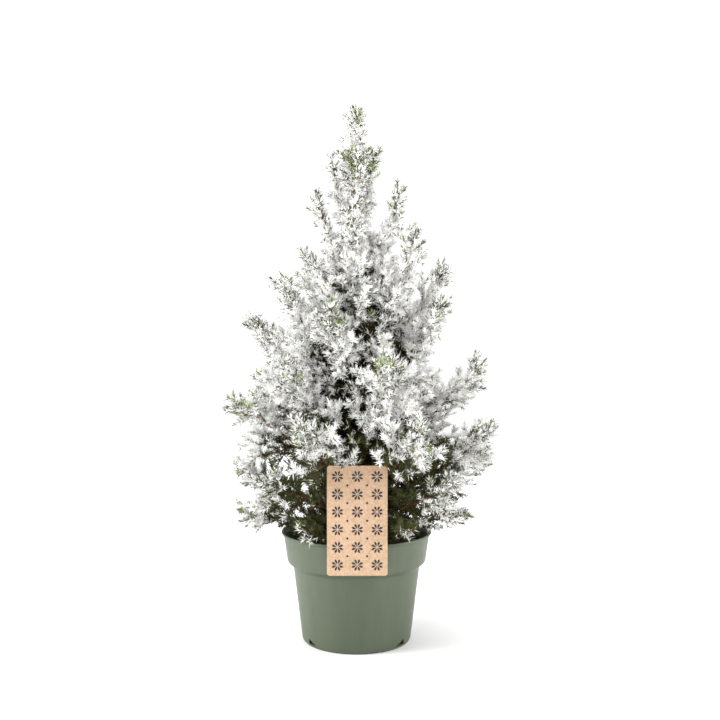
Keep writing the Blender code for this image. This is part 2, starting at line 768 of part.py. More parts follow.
def sprays_of(limb, space, draw):
    """The end spray, and each twig and side spray that stays in the limb's own room."""
    end_from = limb.stem_point(STEM_SPRAY_START)
    end_spray = fitting_spray(limb, space, end_from, limb.tip, END_SPRAY_RINGS)
    sprays = [end_spray or Spray(end_from, limb.tip, LEAST_SPRAY_RADIUS, END_SPRAY_RINGS)]
    roll = draw.uniform(0.0, math.tau)
    twigs = max(LEAST_TWIGS, round(limb.stem_length() / TWIG_SPACING))
    for k in range(twigs):
        along = TWIG_FIRST + (TWIG_LAST - TWIG_FIRST) * k / (twigs - 1)
        roll += GOLDEN_ANGLE + draw.uniform(-TWIG_ROLL_SPREAD, TWIG_ROLL_SPREAD)
        heading = limb.stem_heading(along)
        angle = TWIG_ANGLE_FOOT + (TWIG_ANGLE_TIP - TWIG_ANGLE_FOOT) * along
        angle *= 1.0 - UPRIGHT_NARROWING * heading.z ** 2
        direction = turned_aside(heading, angle, roll)
        start = limb.stem_point(along)
        full = limb.twig_length * (1.0 - TWIG_SHORTENING * along)
        full *= draw.uniform(1.0 - TWIG_LENGTH_SPREAD, 1.0 + TWIG_LENGTH_SPREAD)
        side_roll = draw.uniform(0.0, math.tau)
        for share in TWIG_LENGTH_TRIES:
            end = start + direction * full * share
            spray = fitting_spray(limb, space, start, end, TWIG_SPRAY_RINGS)
            if not spray:
                continue
            sprays.append(spray)
            side_start = start.lerp(end, SIDE_SPRAY_FROM)
            side_heading = turned_aside(direction, SIDE_SPRAY_ANGLE, side_roll)
            side_end = side_start + side_heading * full * share * SIDE_SPRAY_SHARE
            side_spray = fitting_spray(limb, space, side_start, side_end, SIDE_SPRAY_RINGS)
            if side_spray:
                sprays.append(side_spray)
            break
    return sprays


def crown_radius(height):
    """The crown's greatest radius at a height, or nothing above and below it."""
    for (low, low_radius), (high, high_radius) in zip(CROWN_OUTLINE, CROWN_OUTLINE[1:]):
        if low <= height <= high:
            return low_radius + (high_radius - low_radius) * (height - low) / (high - low)
    return 0.0


def add_stem(name, points, radii, sides_resolution, collection):
    """A tapering round limb through points, as a mesh."""
    curve = bpy.data.curves.new(name, "CURVE")
    curve.dimensions = "3D"
    curve.bevel_depth = 1.0
    curve.bevel_resolution = sides_resolution
    curve.use_fill_caps = True
    spline = curve.splines.new("POLY")
    spline.points.add(len(points) - 1)
    for spot, point, radius in zip(spline.points, points, radii):
        spot.co = (*point, 1.0)
        spot.radius = radius
    thing = bpy.data.objects.new(name, curve)
    collection.objects.link(thing)
    bpy.context.view_layer.update()
    return curve_as_mesh(thing, collection)


def keep_main_shell(mesh):
    """Drops loose scraps and the walls of sealed hollows, which fills them."""
    bm = bmesh.new()
    bm.from_mesh(mesh)
    bmesh.ops.dissolve_degenerate(bm, edges=bm.edges, dist=1e-7)
    seen = set()
    shells = []
    for face in bm.faces:
        if face in seen:
            continue
        shell = [face]
        seen.add(face)
        for member in shell:
            neighbours = [other for edge in member.edges for other in edge.link_faces]
            for other in neighbours:
                if other not in seen:
                    seen.add(other)
                    shell.append(other)
        shells.append(shell)
    shells.sort(key=len)
    for shell in shells[:-1]:
        bmesh.ops.delete(bm, geom=shell, context="FACES")
    bmesh.ops.dissolve_limit(bm, angle_limit=FLAT_ANGLE, verts=bm.verts, edges=bm.edges)
    bm.to_mesh(mesh)
    bm.free()


def make_stem(limb, collection):
    """A mass's own stem: a three-sided taper along the limb's curve."""
    bm = bmesh.new()
    rings = []
    for k in range(STEM_POINTS):
        along = k / (STEM_POINTS - 1)
        radius = limb.stem_radius + (STEM_TIP_RADIUS - limb.stem_radius) * along
        heading = limb.stem_heading(along)
        rings.append([
            bm.verts.new(limb.stem_point(along) + side_direction(heading, math.tau * side / 3) * radius)
            for side in range(3)
        ])
    for lower, upper in zip(rings, rings[1:]):
        for side in range(3):
            after = (side + 1) % 3
            bm.faces.new((lower[side], lower[after], upper[after], upper[side]))
    bm.faces.new(rings[0])
    bm.faces.new(rings[-1])
    bmesh.ops.recalc_face_normals(bm, faces=bm.faces)
    return bmesh_object(f"stem_{limb.name}", bm, collection)


def make_mass(limb, space, parts, material):
    """Stem, twigs and sprays of one limb, joined in one union."""
    draw = random.Random(f"{SEED}_{limb.name}")
    loose = new_collection(f"loose_{limb.name}")
    stem = make_stem(limb, parts)
    for k, spray in enumerate(sprays_of(limb, space, draw)):
        spray.add_to(loose, f"spray_{k}")
    joint = stem.modifiers.new("fuse", "BOOLEAN")
    joint.operation = "UNION"
    joint.operand_type = "COLLECTION"
    joint.collection = loose
    joint.solver = "EXACT"
    graph = bpy.context.evaluated_depsgraph_get()
    mesh = bpy.data.meshes.new_from_object(stem.evaluated_get(graph))
    keep_main_shell(mesh)
    mass = new_object(f"mass_{limb.name}", mesh, parts, material)
    for thing in list(loose.objects):
        bpy.data.objects.remove(thing, do_unlink=True)
    bpy.data.collections.remove(loose)
    bpy.data.objects.remove(stem, do_unlink=True)
    return mass


def make_bough(limb, parts, material):
    shares = [
        limb.leaves_trunk + (BOUGH_SHARE - limb.leaves_trunk) * k / (BOUGH_POINTS - 1)
        for k in range(BOUGH_POINTS)
    ]
    points = [limb.point(share) for share in shares]
    radii = [
        BOUGH_RADIUS + (STEM_RADIUS - BOUGH_RADIUS) * k / (BOUGH_POINTS - 1) for k in range(BOUGH_POINTS)
    ]
    bough = add_stem(f"bough_{limb.name}", points, radii, 1, parts)
    bough.name = f"bough_{limb.name}"
    bough.data.materials.append(material)
    shade(bough, 60.0)
    return bough


def main():
    clear_scene()
    parts = new_collection("potted_alberta_spruce")
    cutters = new_collection("cutters")
    materials = {name: new_material(name) for name in COLOURS}
    make_pot(parts, cutters, materials["pot"])
    make_soil(parts, materials["soil"])
    make_label(parts, cutters, materials["label"])
    make_trunk(parts, materials["bark"])
    limbs = all_limbs()
    space = Space(limbs)
    for limb in limbs:
        if limb.has_bough:
            make_bough(limb, parts, materials["bark"])
        make_mass(limb, space, parts, materials["foliage"])


main()
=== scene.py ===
"""The looks of a dwarf Alberta spruce dusted with snow, in a nursery pot with a card label on its rim.

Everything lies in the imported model's frame: metres, Z up, the pot's underside at z = 0 and the
label's side towards -Y. The crown grows by the rule of the part's source, carried on to finer
twigs and to needles.
"""

import itertools
import math
import random

import bmesh
import bpy
import numpy as np
from mathutils import Matrix, Vector, noise


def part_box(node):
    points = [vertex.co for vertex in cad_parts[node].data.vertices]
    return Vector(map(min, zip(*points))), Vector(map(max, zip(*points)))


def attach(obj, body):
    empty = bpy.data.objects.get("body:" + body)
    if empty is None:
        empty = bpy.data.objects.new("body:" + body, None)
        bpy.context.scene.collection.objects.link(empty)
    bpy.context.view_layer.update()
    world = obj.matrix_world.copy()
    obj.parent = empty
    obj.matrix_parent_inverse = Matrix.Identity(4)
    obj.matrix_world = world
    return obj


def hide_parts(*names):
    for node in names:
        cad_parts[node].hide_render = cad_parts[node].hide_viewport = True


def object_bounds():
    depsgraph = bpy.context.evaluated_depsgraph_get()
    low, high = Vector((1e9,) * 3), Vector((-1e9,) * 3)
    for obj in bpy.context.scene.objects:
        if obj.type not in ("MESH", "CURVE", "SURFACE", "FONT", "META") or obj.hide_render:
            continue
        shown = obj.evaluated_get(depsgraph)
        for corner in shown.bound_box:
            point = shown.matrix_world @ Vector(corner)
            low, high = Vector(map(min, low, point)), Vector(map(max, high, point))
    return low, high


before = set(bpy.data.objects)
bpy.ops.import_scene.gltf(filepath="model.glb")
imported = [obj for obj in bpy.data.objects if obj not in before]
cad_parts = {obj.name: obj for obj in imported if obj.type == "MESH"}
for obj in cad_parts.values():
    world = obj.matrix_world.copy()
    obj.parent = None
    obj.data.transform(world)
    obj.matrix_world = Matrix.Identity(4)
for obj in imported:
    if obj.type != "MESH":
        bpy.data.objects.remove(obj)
cad_low, cad_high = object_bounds()

MM = 0.001
SEED = 19
GOLDEN_ANGLE = math.radians(137.5)
GAP = 0.3 * MM
RIGHT, BACK, UP = np.eye(3)

# Sizes from the frame
CAD_LOW = np.array(cad_low)
CAD_HIGH = np.array(cad_high)
LABEL_LOW, LABEL_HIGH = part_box("label")
POT_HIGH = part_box("pot")[1]
RIM_RADIUS = POT_HIGH.x
RIM_HEIGHT = POT_HIGH.z
SOIL_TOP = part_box("soil")[1].z
TRUNK_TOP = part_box("trunk")[1].z
MASS_NODES = sorted(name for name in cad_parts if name.startswith("mass_"))

# The pot's profile, as in the part's source
LIP_HEIGHT = 1.6 * MM
LIP_WIDTH = 2.4 * MM
COLLAR_TOP_RADIUS = 91.9 * MM
COLLAR_TOP = 129.5 * MM
COLLAR_FOOT_RADIUS = 87.6 * MM
COLLAR_FOOT = 100.4 * MM
STEP_ROUND = 2.0 * MM
WALL_TOP_RADIUS = 79.9 * MM
WALL_TOP = 91.5 * MM
BASE_RADIUS = 68.6 * MM
BASE_EDGE = 2.4 * MM
POT_WALL = 1.8 * MM
POT_FLOOR = 2.2 * MM
BEAD_INSET = 1.0 * MM
BEAD_DEPTH = 0.5 * MM  # the groove between the lip's two lines
FOOT_RING_WIDTH = 3.0 * MM
FOOT_RECESS = 0.8 * MM
POT_STEPS = 144
CORNER_STEPS = 5
WEDGE_AZIMUTHS = (39.0, 141.0, 219.0, 321.0)
WEDGE_WIDTH = 16.0 * MM
WEDGE_HEIGHT = 6.5 * MM
WEDGE_BOTTOM = 3.2 * MM
WEDGE_TOP_SHARE = 0.8
SLOT_AZIMUTHS = (20.0, 110.0, 200.0, 290.0)
SLOT_WIDTH = 20.0 * MM
SLOT_HEIGHT = 1.4 * MM
CUT_INNER = 58.0 * MM
CUT_OUTER = 78.0 * MM
FACING_OUT = Matrix(((0, 0, 1, 0), (1, 0, 0, 0), (0, 1, 0, 0), (0, 0, 0, 1)))

# Soil
SOIL_EDGE_DROP = 2.6 * MM
SOIL_RINGS = 44
SOIL_SIDES = 120
SOIL_LUMP = 1.1 * MM
CRUMBS = 620
FIBRES = 300
FALLEN_NEEDLES = 170

# Label
CARD_THICKNESS = 0.9 * MM
CARD_CORNER = 3.2 * MM
CARD_EDGE_ROUND = 0.18 * MM
CLIP_WIDTH = 24.0 * MM
CLIP_DEPTH = 13.0 * MM
CLIP_THICKNESS = 1.0 * MM
CLIP_WALL_CLEARANCE = 7.3 * MM
CLIP_BEND = 1.6 * MM
STAR_COLUMNS = 3
STAR_ROWS = 6
STAR_MARGIN_X = 12.2 * MM
STAR_MARGIN_Z = 12.5 * MM
STAR_RADIUS = 7.2 * MM
STAR_HEART = 0.9 * MM
PETAL_WIDTH = 2.7 * MM
PETAL = ((0.0, 0.0), (0.58, -0.5), (0.84, -0.36), (1.0, 0.0), (0.84, 0.36), (0.58, 0.5))
DIAMOND_SIZE = 1.7 * MM
INK_THICKNESS = 0.1 * MM

# Trunk and limbs, as in the part's source
TRUNK_FOOT_RADIUS = 9.6 * MM
TRUNK_TIP_RADIUS = 1.7 * MM
TRUNK_SWEEP_X = 3.5 * MM
TRUNK_SWEEP_Y = 2.5 * MM
FLARE = 5.5 * MM
FLARE_HEIGHT = 9.0 * MM
FLARE_LOBES = 5
FLARE_LOBE_DEPTH = 0.35
LEADER_TOP = 675.5 * MM
LEADER_TWIG = 44.0 * MM
TIERS = (  # name, rise in degrees, twig length in mm, with bough; azimuths, reaches and tops in mm
    ("skirt", 6.0, 64, False, (
        (190, 150, 166), (238, 120, 157), (303, 120, 155), (352, 142, 160), (52, 136, 160), (120, 138, 162),
    )),
    ("low", 20.0, 76, True, (
        (168, 166, 217), (222, 152, 213), (316, 156, 208), (6, 179, 231), (86, 158, 216),
    )),
    ("inner", 20.0, 48, False, ((271, 74, 196),)),
    ("heart", 52.0, 56, False, (
        (270, 60, 264), (20, 62, 300), (152, 60, 300), (258, 54, 330),
        (92, 56, 322), (293, 50, 402), (22, 48, 410), (155, 46, 402),
    )),
    ("middle", 33.0, 78, False, (
        (194, 160, 307), (248, 164, 283), (296, 168, 279), (345, 178, 270), (60, 156, 282), (127, 158, 292),
    )),
    ("waist", 42.0, 74, False, (
        (4, 166, 352), (92, 136, 348), (159, 144, 338), (228, 126, 350), (288, 142, 354),
    )),
    ("upper", 54.0, 68, False, (
        (187, 134, 410), (252, 102, 416), (334, 118, 429), (66, 106, 422), (124, 104, 416),
    )),
    ("top", 62.0, 64, False, (
        (156, 76, 494), (210, 106, 458), (8, 114, 481), (318, 100, 511), (84, 80, 486),
    )),
    ("shoulder", 71.0, 52, False, ((178, 50, 561), (352, 58, 570), (84, 44, 548), (266, 46, 540))),
    ("neck", 74.0, 40, False, ((192, 33, 604), (14, 26, 616), (98, 21, 602), (276, 21, 606))),
)
CROWN_OUTLINE = MM * np.array((  # heights and the crown's greatest radius there, in mm
    (118, 112), (165, 160), (215, 176), (270, 180), (355, 168), (430, 128), (482, 118),
    (512, 94), (570, 66), (606, 38), (640, 25), (664, 16), (675.5, 8),
))
LIMB_SAG = 0.07
CLEAR_STEP = 0.0005
BOUGH_SHARE = 0.42
BOUGH_RADIUS = 3.6 * MM
STEM_RADIUS = 2.1 * MM
STEM_TIP_RADIUS = 0.7 * MM
TWIG_SPACING = 37.6 * MM
LEAST_TWIGS = 3
TWIG_FIRST = 0.08
TWIG_LAST = 0.80
ROLL_SPREAD = 0.25
TWIG_LENGTH_SPREAD = 0.1
TWIG_ANGLES = (math.radians(58.0), math.radians(38.0))  # at the foot and at the tip of what bears them
UPRIGHT_NARROWING = 0.4
TWIG_SHORTENING = 0.36
LENGTH_TRIES = (1.0, 0.82, 0.66, 0.5)
PATH_STEPS = 6

# The finer twigs: how close they stand, how long they are, their first and last place on their bearer
STEM_SPRIGS = (5.6 * MM, 36.0 * MM, 0.03, 0.96)
TWIG_SPRIGS = (7.4 * MM, 27.0 * MM, 0.08, 0.94)
SPRIGLETS = (10.0 * MM, 16.0 * MM, 0.2, 0.8)
LEAST_BEARER = 17.0 * MM  # the shortest sprig that bears sprigs of its own
TWIG_OVERLAP = 3.0 * MM  # how far a twig may reach into its neighbours' room
SPRIG_OVERLAP = 8.0 * MM
CLOSEST_SHARE = 0.35  # sprigs stand closer where they are shorter
LEAST_SPRIG = 3.5 * MM
SPRIG_SHORTENING = 0.45
TIP_TAPER = 0.65  # the side shoots' length for each metre left to the tip
SPRIG_LENGTH_SPREAD = 0.2
SPRIG_ANGLES = (math.radians(56.0), math.radians(36.0))
TRUNK_TWIGS = 230  # short twigs on the trunk itself, between the limbs
TRUNK_TWIG_FROM = 22.0 * MM  # above the rim
TRUNK_TWIG_TO = 2.0 * MM  # below the trunk's tip
TRUNK_TWIG_RISE = math.radians(32.0)
TRUNK_TWIG_LENGTH = 112.0 * MM
TRUNK_TWIG_SHARES = ((0.42, 0.51, 0.57, 0.60), (0.66, 0.20, 0.20, 0.62))  # of the crown, by height
TRUNK_TWIG_SCALES = ((0.30, 0.55), (1.0, 0.4))
TRUNK_TWIG_OVERLAP = 30.0 * MM
LEAST_TRUNK_TWIG = 14.0 * MM
FULL_TWIG = 76.0 * MM  # the side twigs of the fullest tiers; others' sprigs are shorter in step
TIER_SLIMMING = 1.15
TWIG_SLIMMING = 0.7
TWIG_TAPER = 0.85  # a side twig's greatest length for each metre left to its limb's tip
TWIG_AT_TIP = 9.0 * MM
LEADER_SCALE = 0.78
OUTWARD_FAVOUR = 0.35  # how much longer the outward sprigs are, and the inward ones shorter
LIGHT_PULL = 0.28  # how much a sprig leans up and out to the light
UPTURN = 0.14  # of its length, how far a twig's end turns up
TWIG_RADIUS = 1.35 * MM
SPRIG_RADIUS = 0.85 * MM
SPRIG_TIP_RADIUS = 0.45 * MM
RIM_CLEARANCE = 6.0 * MM
WALL_CLEARANCE = 12.0 * MM
LABEL_CLEARANCE = 2.5 * MM
BOX_MARGIN = 3.0 * MM  # between a side shoot and the side of the part's box
BATCH = 1500  # points in one step of the search for their room

# How open each shoot lies, which tells how much snow it caught and where bare needles are painted
# near-black as painted shade
SKY_CELL = 8.0 * MM
SKY_DIRECTIONS = 56
SKY_STEPS = 28
SKY_THICKNESS = 0.28  # how much one shoot's length in a cell dims what lies behind it
SKY_LOWEST = -0.25  # the sine of the lowest light's height
READ_AT = 0.7  # where along a shoot or a needle its sky and snow are read
CLUMP_CELL = 15.0 * MM  # the size of the snow's patches
SNOW_SKY = (0.06, 0.24)  # the open sky from which snow lies, and where it lies thick
SNOW_PATCHINESS = 0.11
SHELTERED_HEIGHTS = (0.195, 0.315)
SHELTERED_SHARES = (0.58, 0.93)  # of the crown's radius
SHELTER_PATCHINESS = 0.62
SHELTER_EDGE = (0.34, 0.72)

# Needles
NEEDLES = 180000
NEEDLE_LENGTH = 8.7 * MM
NEEDLE_LEANS = (math.radians(62.0), math.radians(38.0))
NEEDLE_LEAN_SPREAD = 0.16
NEEDLE_ROLL_SPREAD = 0.35
NEEDLE_LIFT = 0.16
TIP_FROM = 0.80
TIP_CLOSING = 0.45  # how far the needles close round a shoot's tip
SHADED_NEEDLES = 0.50  # how densely a shaded shoot bears them; an open one bears 1 more
NEEDLED_SKY = (0.04, 0.35)
PIECE_NEEDLES = 48000  # at most in one piece, for under 200,000 triangles
SHOOT_SNOW = (-0.24, 0.20)
FLAT_SNOW = 0.20  # how much more snow lies on a needle that points up
SNOW_MOST = 0.88
THICK_SNOW = 0.84
BARE_TIP = 0.58  # the share of its snow that a limb's tip keeps
TIP_REACH = (8.0 * MM, 55.0 * MM)
OLIVE_FROM = 0.12  # the open sky from which a bare needle is olive, its own green; below it the needle is painted near-black green as painted shade
OLIVE_SPREAD = 0.10
FRESH_PATCHES = 0.34
FRESH_REACH = 32.0 * MM  # how far from a limb's tip its fresh green needles grow
FRESH_SKY = 0.2
FRESH_SHOOTS = 0.6
FRESH_NEEDLES = 0.75
DRY_NEEDLES = 0.012
NEEDLE_ROOM = 1.0 * MM  # how far a needle may pass the side of the part's box
NEEDLE_CLEARANCE = 0.6 * MM
KINDS = (  # name, needle width, share of the full length
    ("snow", 1.90 * MM, 0.92),
    ("frost", 1.45 * MM, 1.00),
    ("olive", 1.40 * MM, 0.94),
    # painted shade: needles deep in the crown, where little sky reaches, painted near-black green
    ("dark", 1.60 * MM, 1.00),
    ("fresh", 1.35 * MM, 0.92),
    ("dry", 1.00 * MM, 0.90),
)
SNOW, FROST, OLIVE, PAINTED_SHADE, FRESH, DRY = range(6)

# Snow caps and white twigs
WHITE_FROM = 0.62
WHITE_SHARE = 0.3
CAPPED_FROM = 0.5
CAP_CHANCES = (0.05, 0.55)  # outside the snow's patches and in them
CAP_SIZES = ((2.2, 4.6), (1.6, 3.0), (1.3, 2.4))  # half a cap's length, width and height, in mm

# Bark
BARK_SCALES = (420.0, 1300.0)
BARK_STRETCH = np.array((1.0, 1.0, 0.3))
TRUNK_RINGS = 300
TRUNK_SIDES = 36
TRUNK_SINK = 1.5 * MM
BOUGH_RINGS = 46
BOUGH_SIDES = 20
BOUGH_TAPER = 0.16

# Floor, light and camera
FLOOR_SIZE = 60.0
# painted shade: the floor's colour darkens towards the pot, from 0.99 far off to 0.79 round it
FLOOR_SHADE_STOPS = ((0.20, (0.99,) * 3), (0.75, (0.79,) * 3))
SKY_STOPS = ((0.0, (0.52,) * 3), (0.42, (1.0,) * 3))
SKY_STRENGTH = 1.13
LIGHTS = (  # name, place, size, power
    ("key", (-2.0, -0.5, 1.4), 1.4, 76.0),
    ("fill", (2.0, -0.4, 1.1), 1.4, 34.0),
    ("top", (0.1, 0.1, 2.1), 1.5, 17.0),
)
LIGHT_AIM = Vector((0.0, 0.0, 0.3))
CAMERA_PLACE = (4.4 * MM, -1.10, 0.358)
CAMERA_FOCAL_PIXELS = 866.0
IMAGE_PIXELS = 720.0
HORIZON_PIXEL = 355.0
SENSOR_WIDTH = 36.0

# Materials of two tones: the tones, roughness, scale of the mottling, scale and height of the relief
TWO_TONES = {
    "twig_wood": ((0.10, 0.045, 0.02), (0.27, 0.125, 0.055), 0.8, 260.0, 900.0, 0.0002),
    "snow": ((0.85, 0.85, 0.845), (0.92, 0.915, 0.905), 0.7, 90.0, 1400.0, 0.0003),
    "frosted_needle": ((0.46, 0.47, 0.38), (0.70, 0.70, 0.62), 0.65, 70.0),
    "olive_needle": ((0.036, 0.046, 0.013), (0.098, 0.112, 0.036), 0.6, 70.0),
    # painted shade: the near-black green given to needles that lie deep in the crown
    "dark_needle": ((0.002, 0.003, 0.001), (0.024, 0.036, 0.011), 0.6, 70.0),
    "fresh_needle": ((0.15, 0.23, 0.05), (0.30, 0.38, 0.11), 0.5, 70.0),
    "dry_needle": ((0.22, 0.10, 0.04), (0.36, 0.20, 0.09), 0.8, 70.0),
    "compost_dark": ((0.010, 0.006, 0.004), (0.032, 0.019, 0.012), 0.95, 300.0, 900.0, 0.0012),
    "compost_crumb": ((0.014, 0.008, 0.005), (0.060, 0.034, 0.020), 0.95, 200.0),
    "coir_fibre": ((0.10, 0.038, 0.018), (0.26, 0.115, 0.05), 0.85, 120.0),
    "black_ink": ((0.012, 0.012, 0.014), (0.022, 0.022, 0.025), 0.6, 500.0),
}


def unit(vectors):
    return vectors / np.maximum(np.linalg.norm(vectors, axis=-1, keepdims=True), 1e-12)


def between(pair, share):
    return pair[0] + (pair[1] - pair[0]) * share


def smooth_step(values, low, high):
    t = np.clip((values - low) / (high - low), 0.0, 1.0)
    return t * t * (3.0 - 2.0 * t)


# Meshes from arrays

def linked(name, data, *materials):
    """A new object in the scene from a mesh, a light or a camera."""
    for material in materials:
        data.materials.append(material)
    thing = bpy.data.objects.new(name, data)
    bpy.context.scene.collection.objects.link(thing)
    return thing


def joined_mesh(name, points, faces, material, smooth=False):
    """One mesh object from an array of points and an array of faces with equal numbers of corners."""
    mesh = bpy.data.meshes.new(name)
    mesh.vertices.add(len(points))
    mesh.vertices.foreach_set("co", np.asarray(points, np.float32).ravel())
    mesh.loops.add(faces.size)
    mesh.loops.foreach_set("vertex_index", np.asarray(faces, np.int32).ravel())
    mesh.polygons.add(len(faces))
    mesh.polygons.foreach_set("loop_start", np.arange(0, faces.size, faces.shape[1], dtype=np.int32))
    mesh.polygons.foreach_set("use_smooth", np.full(len(faces), smooth))
    mesh.update(calc_edges=True)
    return linked(name, mesh, material)


def wall_faces(index):
    """Triangles between neighbouring rings of points, numbered by index: (..., rings, sides)."""
    after = np.roll(index, -1, axis=-1)
    low = index[..., :-1, :]
    high = index[..., 1:, :]
    low_after = after[..., :-1, :]
    high_after = after[..., 1:, :]
    return np.stack((low, low_after, high_after, low, high_after, high), axis=-1).reshape(-1, 3)


def fans(rings):
    """Triangles across rings of points, numbered by rings: (rings, sides)."""
    first = np.repeat(rings[:, :1], rings.shape[1] - 2, axis=1)
    return np.stack((first, rings[:, 1:-1], rings[:, 2:]), axis=-1).reshape(-1, 3)


def circles(across, above, sides):
    """Circles of points, 1 in radius, in the planes of pairs of directions."""
    turns = math.tau * np.arange(sides) / sides
    return across[..., None, :] * np.cos(turns)[:, None] + above[..., None, :] * np.sin(turns)[:, None]


def tubes(paths, radii, across, above, sides):
    """Closed round tubes. paths, across and above are (tubes, rings, 3), radii are (tubes, rings)."""
    points = paths[:, :, None] + circles(across, above, sides) * radii[:, :, None, None]
    index = np.arange(points.size // 3).reshape(points.shape[:3])
    faces = np.concatenate((wall_faces(index), fans(index[:, 0])[:, ::-1], fans(index[:, -1])))
    return points.reshape(-1, 3), faces


def skin(rings, start, end):
    """A closed surface through rings of points, drawn together to one point at each end."""
    count, sides = rings.shape[:2]
    index = np.arange(count * sides).reshape(count, sides)
    after = np.roll(index, -1, axis=1)
    centre = np.full(sides, count * sides)
    foot = np.stack((centre, after[0], index[0]), axis=1)
    tip = np.stack((centre + 1, index[-1], after[-1]), axis=1)
    points = np.concatenate((rings.reshape(-1, 3), [start, end]))
    return points, np.concatenate((wall_faces(index), foot, tip))


def level_ring(radius, height, sides):
    return circles(RIGHT, BACK, sides) * radius + UP * height


def merged(parts):
    """Points and faces of several meshes as one."""
    totals = np.cumsum([0] + [len(points) for points, faces in parts])
    moved = [faces + total for (points, faces), total in zip(parts, totals)]
    return np.concatenate([points for points, faces in parts]), np.concatenate(moved)


def copied(points, faces):
    """Points and faces of copies of one mesh, from its faces and each copy's points."""
    count, corners = points.shape[:2]
    every = faces + (np.arange(count) * corners)[:, None, None]
    return points.reshape(-1, 3), every.reshape(-1, 3)


def ball(subdivisions):
    bm = bmesh.new()
    bmesh.ops.create_icosphere(bm, subdivisions=subdivisions, radius=1.0)
    points = np.array([v.co for v in bm.verts])
    faces = np.array([[v.index for v in f.verts] for f in bm.faces])
    bm.free()
    return points, faces


def turned_outward(bm, mesh):
    """Writes a bmesh into a mesh with every face turned outward."""
    bmesh.ops.recalc_face_normals(bm, faces=bm.faces)
    bm.to_mesh(mesh)
    bm.free()
    return mesh


def fix_normals(thing):
    bm = bmesh.new()
    bm.from_mesh(thing.data)
    turned_outward(bm, thing.data)


def plates(name, outlines, thickness, matrix, *materials):
    """One object with a closed plate for each 2D outline, centred on the outlines' plane."""
    bm = bmesh.new()
    for outline in outlines:
        low = [bm.verts.new((x, y, -thickness / 2)) for x, y in outline]
        high = [bm.verts.new((x, y, thickness / 2)) for x, y in outline]
        bm.faces.new(low[::-1])
        bm.faces.new(high)
        for corners in zip(low, low[1:] + low[:1], high[1:] + high[:1], high):
            bm.faces.new(corners)
    bm.transform(matrix)
    return linked(name, turned_outward(bm, bpy.data.meshes.new(name)), *materials)


def apply_modifiers(thing):
    view = bpy.context.evaluated_depsgraph_get()
    mesh = bpy.data.meshes.new_from_object(thing.evaluated_get(view))
    thing.modifiers.clear()
    thing.data = mesh


def sharpen(thing, degrees):
    """Smooth shading with sharp edges where faces meet steeper than an angle."""
    mesh = thing.data
    mesh.polygons.foreach_set("use_smooth", np.full(len(mesh.polygons), True))
    mesh.set_sharp_from_angle(angle=math.radians(degrees))


def place_piece(thing, slot, *nodes):
    """A finished piece rides on the one body and hides the nodes it stands for; slot is not used."""
    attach(thing, "root")
    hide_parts(*nodes)


def make_piece(name, mesh, material, slot, *nodes, rounded=False):
    """A finished piece from its points and faces; a rounded one is shaded smooth."""
    thing = joined_mesh(name, *mesh, material, smooth=rounded)
    if rounded:
        fix_normals(thing)
    place_piece(thing, slot, *nodes)


# Materials

def add_node(tree, kind, values=None, sources=None):
    """A node with values by the names of its inputs, and with sources as (node, output)."""
    node = tree.nodes.new(f"ShaderNode{kind}")
    for entry, value in (values or {}).items():
        node.inputs[entry].default_value = value
    for entry, (source, output) in (sources or {}).items():
        tree.links.new(source.outputs[output], node.inputs[entry])
    return node


def new_material(name, colour, roughness):
    material = bpy.data.materials.new(name)
    material.use_nodes = True
    shader = material.node_tree.nodes["Principled BSDF"]
    shader.inputs["Base Color"].default_value = (*colour, 1.0)
    shader.inputs["Roughness"].default_value = roughness
    return material, material.node_tree, shader


def noise_node(tree, scale, detail=3.0, roughness=0.55, stretch=(1.0, 1.0, 1.0)):
    """A noise texture in the object's own metres, finer for a higher scale."""
    place = add_node(tree, "TexCoord")
    mapping = add_node(tree, "Mapping", {"Scale": stretch}, {"Vector": (place, "Object")})
    values = {"Scale": scale, "Detail": detail, "Roughness": roughness}
    return add_node(tree, "TexNoise", values, {"Vector": (mapping, "Vector")})


def paint(tree, source, stops, target, entry):
    """Colours at shares of a texture's value, led to a node's input."""
    ramp = add_node(tree, "ValToRGB", sources={"Fac": (source, "Fac")})
    elements = ramp.color_ramp.elements
    while len(elements) < len(stops):
        elements.new(0.5)
    for element, (place, colour) in zip(elements, stops):
        element.position = place
        element.color = (*colour, 1.0)
    tree.links.new(ramp.outputs["Color"], target.inputs[entry])


def bump(tree, shader, source, strength, distance, under=None):
    sources = {"Height": (source, "Fac")}
    if under:
        sources["Normal"] = (under, "Normal")
    node = add_node(tree, "Bump", {"Strength": strength, "Distance": distance}, sources)
    tree.links.new(node.outputs["Normal"], shader.inputs["Normal"])
    return node


def mottled(name, sheen=0.5):
    """A material whose colour wanders between two tones, with fine relief if its row has it."""
    dark, light, roughness, scale, *relief = TWO_TONES[name]
    material, tree, shader = new_material(name, light, roughness)
    paint(tree, noise_node(tree, scale), ((0.3, dark), (0.7, light)), shader, "Base Color")
    if relief:
        bump(tree, shader, noise_node(tree, relief[0]), 1.0, relief[1])
    shader.inputs["Specular IOR Level"].default_value = sheen
    return material


